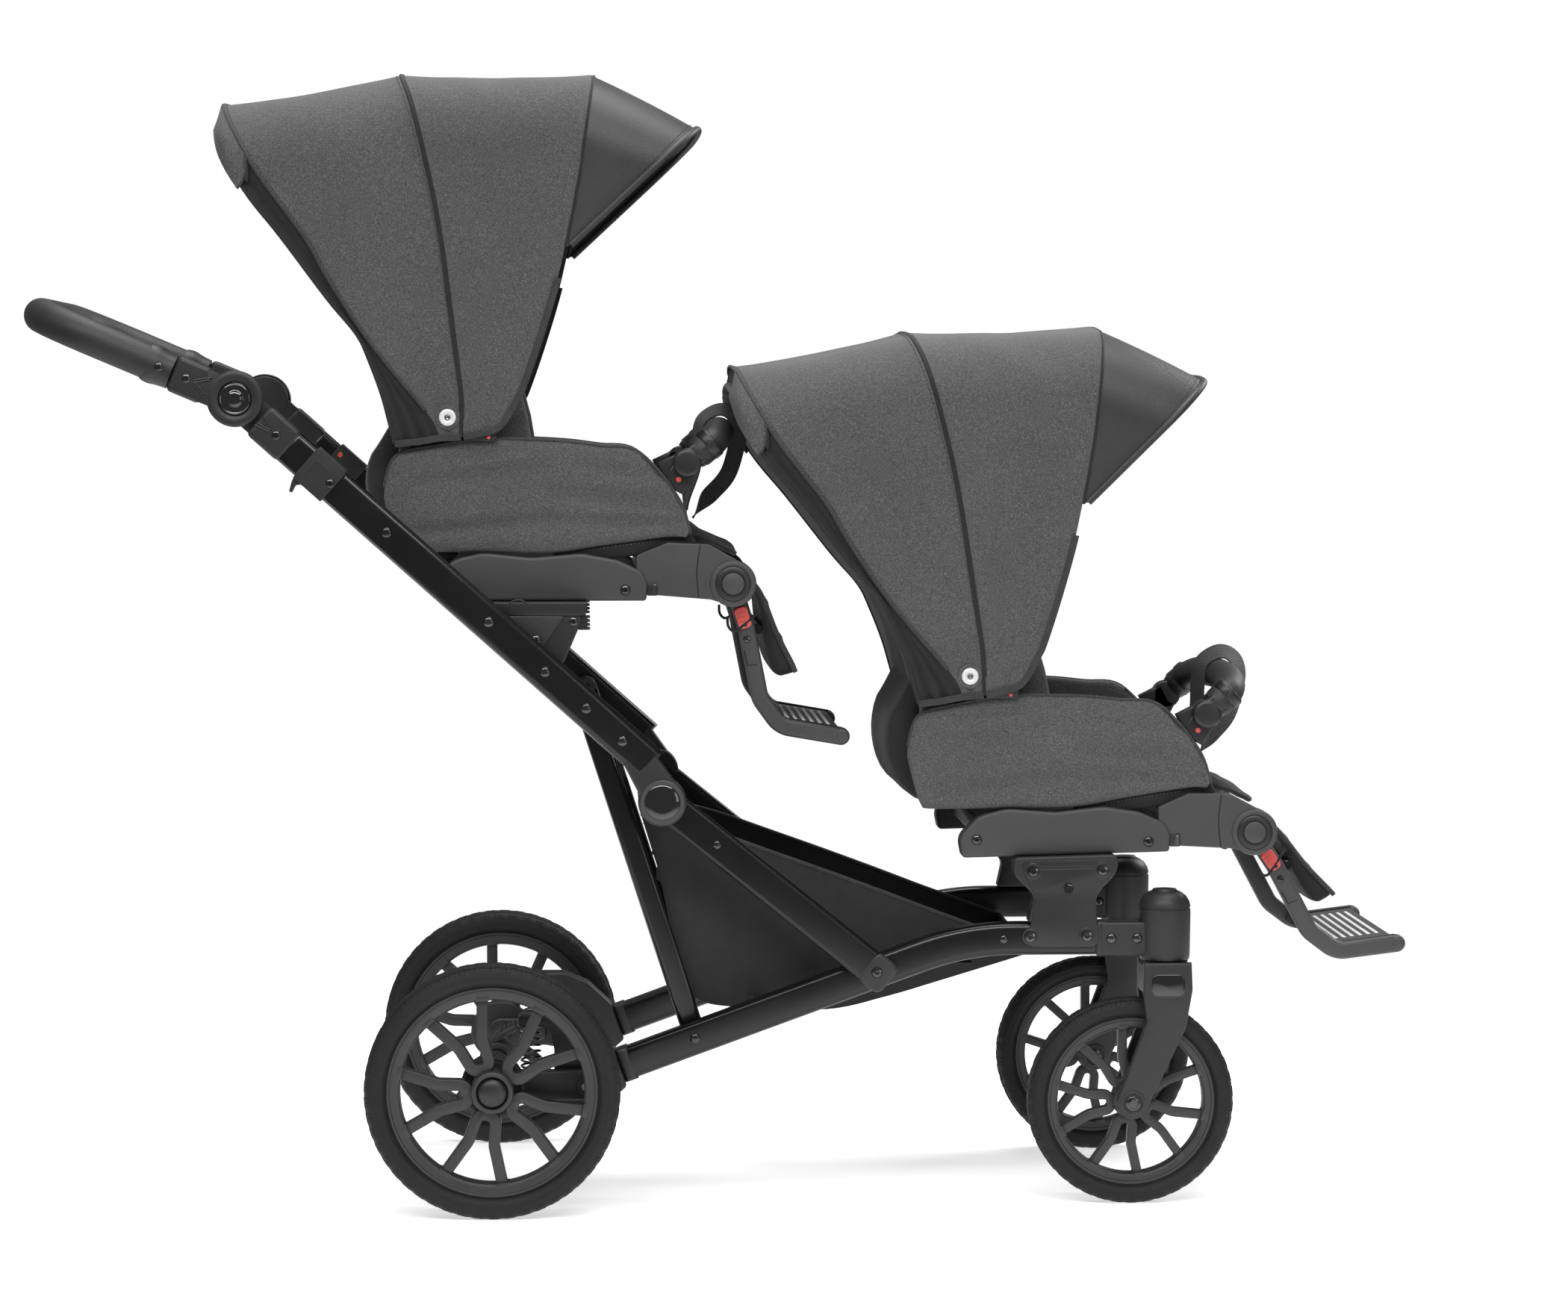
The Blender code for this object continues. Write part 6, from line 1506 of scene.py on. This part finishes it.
def hoodSide(rear, backPath, firstPath, secondPath, s):        # flap, tape, snap and clip of one side
    snap, half = hoodShape["snap"], hoodShape["half"]
    back, first = bow(backPath), bow(firstPath)

    def corner(t):
        return t if s < 0 else 1 - t

    def flap(u, v):        # the flap folded back at the rear tip, open at its fold
        t = hoodShape["flap"][0] + hoodShape["flap"][1] * u
        a, b = back(corner(t - 0.018 * v)), first(corner(t + 0.012))
        point = a.lerp(b, -0.06 + 1.02 * v)
        puff = 0.003 + 0.008 * math.sin(math.pi * u) * math.sin(math.pi * v)
        return (point.x - 0.0045 * (1 - v) - 0.35 * puff, point.y + 0.85 * s * puff, point.z + 0.3 * puff)

    def lining(u, v):
        return flap(-0.01 - 0.05 * v, 0.45 + 0.5 * u)

    rear.use("melange").surface(20, 16, flap, thick=0.0016)
    rear.use("darkMelange").tube(sampled(lambda v: flap(0.0, v), 16), 0.002, 8)
    rear.use("softBlack").surface(10, 6, lining, thick=0.001)
    hoodTape(rear, [backPath[0], hoodShape["flapRoot"], firstPath[0], secondPath[0]], s)
    patch = [(0, 0), (0.015, 0), (0.015, 0.001), (0.014, 0.0018), (0, 0.002)]
    cap = [(0, 0), (0.0098, 0), (0.01, 0.0006), (0.0094, 0.0016), (0.006, 0.002), (0.0054, 0.0013),
           (0, 0.0013)]
    pin = [(0, 0), (0.0036, 0), (0.0032, 0.001), (0.002, 0.0012), (0.0014, 0.0006), (0, 0.0006)]
    for finish, face, profile, steps in (("melange", -0.0006, patch, 56), ("bright", 0.0012, cap, 56),
                                         ("steel", 0.0024, pin, 40)):
        rear.use(finish).disc(snap, half + face, s, profile, steps)
    rear.use("darkPlastic").plate(rounded(hoodShape["clip"], 0.002, 4), s * 0.198, s * 0.201, 0.001, 2)
    dot = [(0, 0), (0.0024, 0), (0.002, 0.0006), (0, 0.0008)]
    rear.use("coral").disc((-0.0036, 0.914), 0.2008, s, dot, 16)


def hood(prefix, move):
    paths = [smoothPath(hoodShape[key], 6) for key in ("back", "bow1", "bow2", "frontEdge")]
    backPath, firstPath, secondPath, edgePath = paths
    back, first, second, edge = [bow(path) for path in paths]
    third = bow([along(p, 0, 0.0026) for p in secondPath])
    thick = hoodShape["cloth"]

    rear = piece("melange")
    place = stretched(first, second, 0.0045, 0.0014, 1.0)
    rear.surface(150, 40, place, thick=-thick)

    def gusset(u, v):        # loose black cloth behind the rear bow
        point = stretched(back, first, 0.0016, 0.003, 4.0)(u, v)
        low = 1 - smoothStep(2 * min(u, 1 - u) / 0.22)
        side = -1 if u < 0.5 else 1
        slack = math.sin(math.pi * v)
        point.y += side * (0.004 * low * math.sin(v * 19) * slack - 0.003 * slack)
        return point

    rear.use("cloth").surface(150, 30, gusset, thick=-thick)

    def backPanel(u, v):
        top = 0.49        # just short of the bow's middle, where its two halves would meet
        point = back(top * u).lerp(back(1 - top * u), v)
        dip = math.sin(math.pi * v) * 0.01 * math.sin(math.pi * min(u * 1.2, 1))
        ruffle = 0.003 * noise.noise(Vector((u * 10, v * 7, 3.0))) * math.sin(math.pi * v)
        return (point.x + dip + ruffle, point.y, point.z + dip * 0.4 + ruffle)

    rear.surface(48, 48, backPanel, thick=thick)
    for side, s in sides:
        hoodSide(rear, backPath, firstPath, secondPath, s)
    rear.use("melange").tube(sampled(back, 120, 33), 0.0052, 12)
    rear.use("darkMelange").tube(sampled(first, 160, 4), 0.0026, 10)
    rear.use("cloth").tube(sampled(second, 120), 0.002, 10)
    rear.tube(sampled(back, 120), 0.0018, 8)
    for offset in (0.02, 0.975):
        seam = sampled(lambda u: place(u, offset), 110, 5)
        seam = [(p.x, p.y * 1.006, p.z + 0.0006) for p in seam]
        rear.use("darkMelange").stitches(seam, "plain", 0.006)
    cloth = rear.done(f"{prefix}_hoodRear", f"{prefix}_backrest", move, smooth=60,
                      stands=[f"{prefix}_hood_rear"])

    front = piece("melange").surface(150, 44, stretched(third, edge, 0.004, 0.0016, 9.0), thick=-thick)
    front.use("cloth").tube(sampled(third, 120, 2), 0.0016, 10)
    cut = edgePath.index(min(edgePath, key=lambda p: abs(p[1] - 1.104)))
    for side, s in sides:
        hoodTape(front, [along(secondPath[0], 0, 0.003)] + edgePath[:cut], s)
    cloth = front.done(f"{prefix}_hoodFront", None, move, smooth=60, stands=[f"{prefix}_hood_front"])
    tuple(move @ Vector((-0.106, 0, 1.34)))
    tuple(move @ Vector((0.078, 0, 1.34)))
    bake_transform(cloth)

    low, tip = hoodShape["visorLow"], hoodShape["visorTip"]
    seam = bow([low] + hoodShape["visorSeam"])
    brim = bow([(low[0] + 0.006, low[1] + 0.002), tip], hoodShape["corner"] * 0.9)
    place = stretched(seam, brim, -0.002, 0.0002, 5.0)
    visor = piece("leather").surface(150, 30, place, thick=-hoodShape["visorThick"])
    visor.tube(sampled(brim, 130), 0.0044, 14)
    visor.use("cloth").tube(sampled(seam, 120), 0.002, 10)
    thread = sampled(lambda u: place(u, 0.93), 110, 3)
    thread = [(p.x + 0.0004, p.y * 1.004, p.z + 0.0004) for p in thread]
    visor.use("tape").stitches(thread, "fine", 0.005)
    cloth = visor.done(f"{prefix}_visorPanel", f"{prefix}_visor", move, smooth=60, stands=[f"{prefix}_visor"])


# Bumper bars

bumperShape = {
    "pivot": (0.231, 0.884), "centre": (0.273, 0.9194), "y": 0.185, "radius": 0.0185, "eye": 0.017,
    "start": math.radians(18), "full": 0.38, "strap": 0.038,
    "strapPath": [(0.234, 0.817), (0.237, 0.8466), (0.245, 0.8781), (0.249, 0.908), (0.252, 0.933),
                  (0.266, 0.9445), (0.282, 0.945), (0.295, 0.9312), (0.297, 0.9056), (0.284, 0.8702),
                  (0.262, 0.8407), (0.24, 0.815)],
}


def bumper(prefix, move):
    pivot, wide, first = bumperShape["pivot"], bumperShape["y"], bumperShape["start"]
    lift, far = heading(pivot, bumperShape["centre"]), span(pivot, bumperShape["centre"])
    plan = [(bumperShape["eye"] + 0.001 + 0.008 * i / 3, -wide) for i in range(4)]        # (forward, y)
    for i in range(61):
        turn = first + (math.pi - 2 * first) * i / 60
        plan.append((far * math.sin(turn) ** bumperShape["full"], -wide * math.cos(turn)))
    plan += [(forward, wide) for forward, y in plan[3::-1]]
    points = []
    for forward, y in plan[::2]:
        x, z = along(pivot, lift, forward)
        points.append((x, y, z))
    points = smoothPath(points, 3)
    made = piece("grip").tube(points, bumperShape["radius"], 28)
    hinge = [(0, 0), (0.0162, 0), (0.017, 0.001), (0.017, 0.015), (0.0158, 0.0172), (0.012, 0.0182),
             (0, 0.0184)]
    neck = rounded(ribbon([along(pivot, lift, -0.006), along(pivot, lift, 0.024)], 0.028), 0.006, 4)
    for s in bothSides:
        made.use("darkPlastic").disc(pivot, wide, s, hinge, 56)
        made.plate(neck, s * (wide + 0.0004), s * (wide + 0.0165), 0.005, 4)
        for start, end, size in ((0.01, 0.029, 0.0172), (0.027, 0.042, 0.0196)):        # socket and collar
            run = [along(pivot, lift, start + (end - start) * k / 6) for k in range(7)]
            made.tube(atWidth(run, s * (wide - 0.002)), size, 40, [0.9, 0.98, 1.0, 1.0, 1.0, 0.98, 0.9])
        for k in range(3):        # ribs of the collar's catch
            at = along(pivot, lift, 0.03 + 0.0045 * k)
            made.box((at[0], s * (wide + 0.0172), at[1]), (0.0022, 0.003, 0.02), 0.0008, 2, -lift)
    made.use("tape").stitches(shifted(points[12:-12], -0.0128, 0, -0.0128), "heavy", 0.0062)
    bar = made.done(f"{prefix}_bumperBar", f"{prefix}_bumper_bar", move, smooth=60,
                    stands=[f"{prefix}_bumper_bar"])


def crotchStrap(prefix, move):        # rises from the seat, goes over the bar and hangs in front of it
    run = pathOf(smoothPath(bumperShape["strapPath"], 7))

    def strap(u, v):
        turn = heading(run(max(v - 0.01, 0)), run(min(v + 0.01, 1)))
        twist = 0.3 + 0.26 * smoothStep((v - 0.38) / 0.25)
        twist = twist * smoothStep(v / 0.12) * smoothStep((1.0 - v) / 0.12)
        out = (u - 0.5) * bumperShape["strap"]
        x, z = along(run(v), turn, 0, out * math.sin(twist) + 0.0012 * math.sin(v * 26))
        return (x, out * math.cos(twist), z)

    made = piece("tape").surface(10, 130, strap, thick=0.0018)
    for side in (0.1, 0.9):
        line = sampled(lambda v: strap(side, v), 90, 2)
        made.use("cloth").tube(shifted(line, 0.0006, 0, 0), 0.0008, 6)
    cloth = made.done(f"{prefix}_crotchStrap", None, move, smooth=60)
    tuple(move @ Vector((0.238, 0, 0.82)))
    tuple(move @ Vector((0.256, 0, 0.896)))
    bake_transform(cloth)


# Footrests

footShape = {
    "arm": [(0.2849, 0.7406), (0.301, 0.69), (0.318, 0.602), (0.342, 0.569), (0.415, 0.5565)],
    "plate": [(0.336, 0.58), (0.346, 0.57), (0.412, 0.559)], "width": 0.021, "inner": 0.15,
    "outer": 0.1677, "plateThick": 0.014, "stripes": 6, "button": (0.2975, 0.6991),
    "seam": [(0.299, 0.659), (0.303, 0.642), (0.314, 0.643)],
    "elastic": [(0.279, 0.7), (0.28, 0.689), (0.287, 0.683), (0.298, 0.69), (0.318, 0.708)],
    "calf": [(0.324, 0.706), (0.342, 0.65)],
    "calfFront": [(0.302, 0.752), (0.323, 0.728), (0.344, 0.6773), (0.362, 0.642), (0.3672, 0.631)],
    "calfBack": [(0.296, 0.744), (0.315, 0.72), (0.323, 0.665), (0.333, 0.634), (0.344, 0.625)],
    "calfHalf": 0.144,
}


def footrestFrame(prefix, move):
    arm, plate, calf = [footShape[key] for key in ("arm", "plate", "calf")]
    inner, outer, width, thick = [footShape[key] for key in ("inner", "outer", "width", "plateThick")]
    turn = heading(plate[1], plate[2])
    bent = ribbon(rounded(arm, [0, 0.05, 0.03, 0.03, 0], 8, closed=False), width)
    tread = ribbon(rounded(plate, 0.01, 5, closed=False), thick)
    groove = ribbon([along(arm[3], turn, 0.01, 0.0095), along(arm[4], turn, 0, 0.0095)], 0.0024)
    elastic = smoothPath(footShape["elastic"], 8)
    made = piece("coverPlastic").plate(tread, -inner - 0.002, inner + 0.002, 0.003, 3)
    behind = along(between(*calf, 0.3), heading(*calf), 0, -0.0143)
    made.use("paint").rod(behind, 0.006, -inner - 0.004, inner + 0.004, 24)
    for s in bothSides:
        made.use("coverPlastic").plate(bent, s * inner, s * outer, 0.005, 5)
        made.plate(circle(arm[0], 0.023), s * (inner - 0.0004), s * (outer - 0.0004), 0.002, 3)
    for k in range(footShape["stripes"]):        # pale strips along the tread
        at = along(plate[1], turn, 0.006 + 0.01 * k, thick / 2 + 0.0002)
        made.use("reflector").box((at[0], 0, at[1]), (0.0044, 2 * inner - 0.07, 0.0012), 0.0005, 1, turn)
    for s in bothSides:
        made.use("coverPlastic").plate(circle(arm[-1], width / 2, 40), s * inner, s * outer, 0.005, 5)
        made.use("softBlack").plate(groove, s * (inner + 0.001), s * (outer - 0.004), 0.0008, 2)
        made.use("rivet").bolt((0.302, 0.6735), outer, s, 0.0042, 0.0022)
        made.use("softBlack").tube(atWidth(footShape["seam"], s * (outer + 0.0001)), 0.0007, 6)
        made.use("cloth").tube([(x, s * (outer + 0.002 + 0.0016 * math.sin(math.pi * i / len(elastic))), z)
                                for i, (x, z) in enumerate(elastic)], 0.0017, 10)
    made.done(f"{prefix}_footrestFrame", f"{prefix}_footrest", move, stands=[f"{prefix}_footrest"])


def footrestButton(prefix, move, side, s):
    outer, centre = footShape["outer"], footShape["button"]
    lean = heading(footShape["arm"][0], footShape["arm"][1])
    corners = [along(centre, lean, *corner) for corner in ((-0.013, -0.008), (0.013, -0.008),
                                                           (0.013, 0.008), (-0.013, 0.008))]
    made = piece("coral")
    made.plate(rounded(corners, 0.005, 6), s * (outer - 0.0018), s * (outer + 0.004), 0.0018, 4)
    for k in range(3):        # ribs for the thumb
        at = along(centre, lean, -0.005 + 0.005 * k)
        made.box((at[0], s * (outer + 0.004), at[1]), (0.0014, 0.001, 0.01), 0.0004, 1, lean)
    made.use("rivet").bolt(along(centre, lean, 0.0095), outer + 0.0036, s, 0.0024, 0.001)
    made.done(f"{prefix}_footrestButton_{side}", f"{prefix}_footrest_button_{side}", move,
              stands=[f"{prefix}_footrest_button_{side}"])


def calfPad(prefix, move):
    half = footShape["calfHalf"]

    def relief(x, y, z, u):
        groove = sum(math.exp(-((u - at) / 0.03) ** 2) for at in (0.33, 0.66))
        return (x + 0.0018 * groove * (1 - (y / 0.145) ** 4), y, z)

    front, back = smoothPath(footShape["calfFront"], 8), smoothPath(footShape["calfBack"], 8)
    made = piece("cloth").pad(front, back, -half, half, (56, 64), 0.3, 10.0, relief)
    for s in bothSides:
        edge = [along(p, 0, -0.005) for p in front[6:-2]]
        made.use("tape").tube(atWidth(edge, s * (half - 0.0008)), 0.003, 10)
    pad = made.done(f"{prefix}_calfPad", f"{prefix}_footrest", move, smooth=60, stands=[f"{prefix}_calf_pad"])


for prefix in ("rear", "front"):
    move, footMove = seatMatrix(prefix), footMatrix(prefix)
    seatFrame(prefix, move)
    for side, s in sides:
        sidePanel(prefix, move, side, s)
    for make in (seatCushion, bumperSockets, seatApron, backrest, hood, bumper, crotchStrap):
        make(prefix, move)
    footrestFrame(prefix, footMove)
    for side, s in sides:
        footrestButton(prefix, footMove, side, s)
    calfPad(prefix, footMove)
    print(prefix, "seat made")
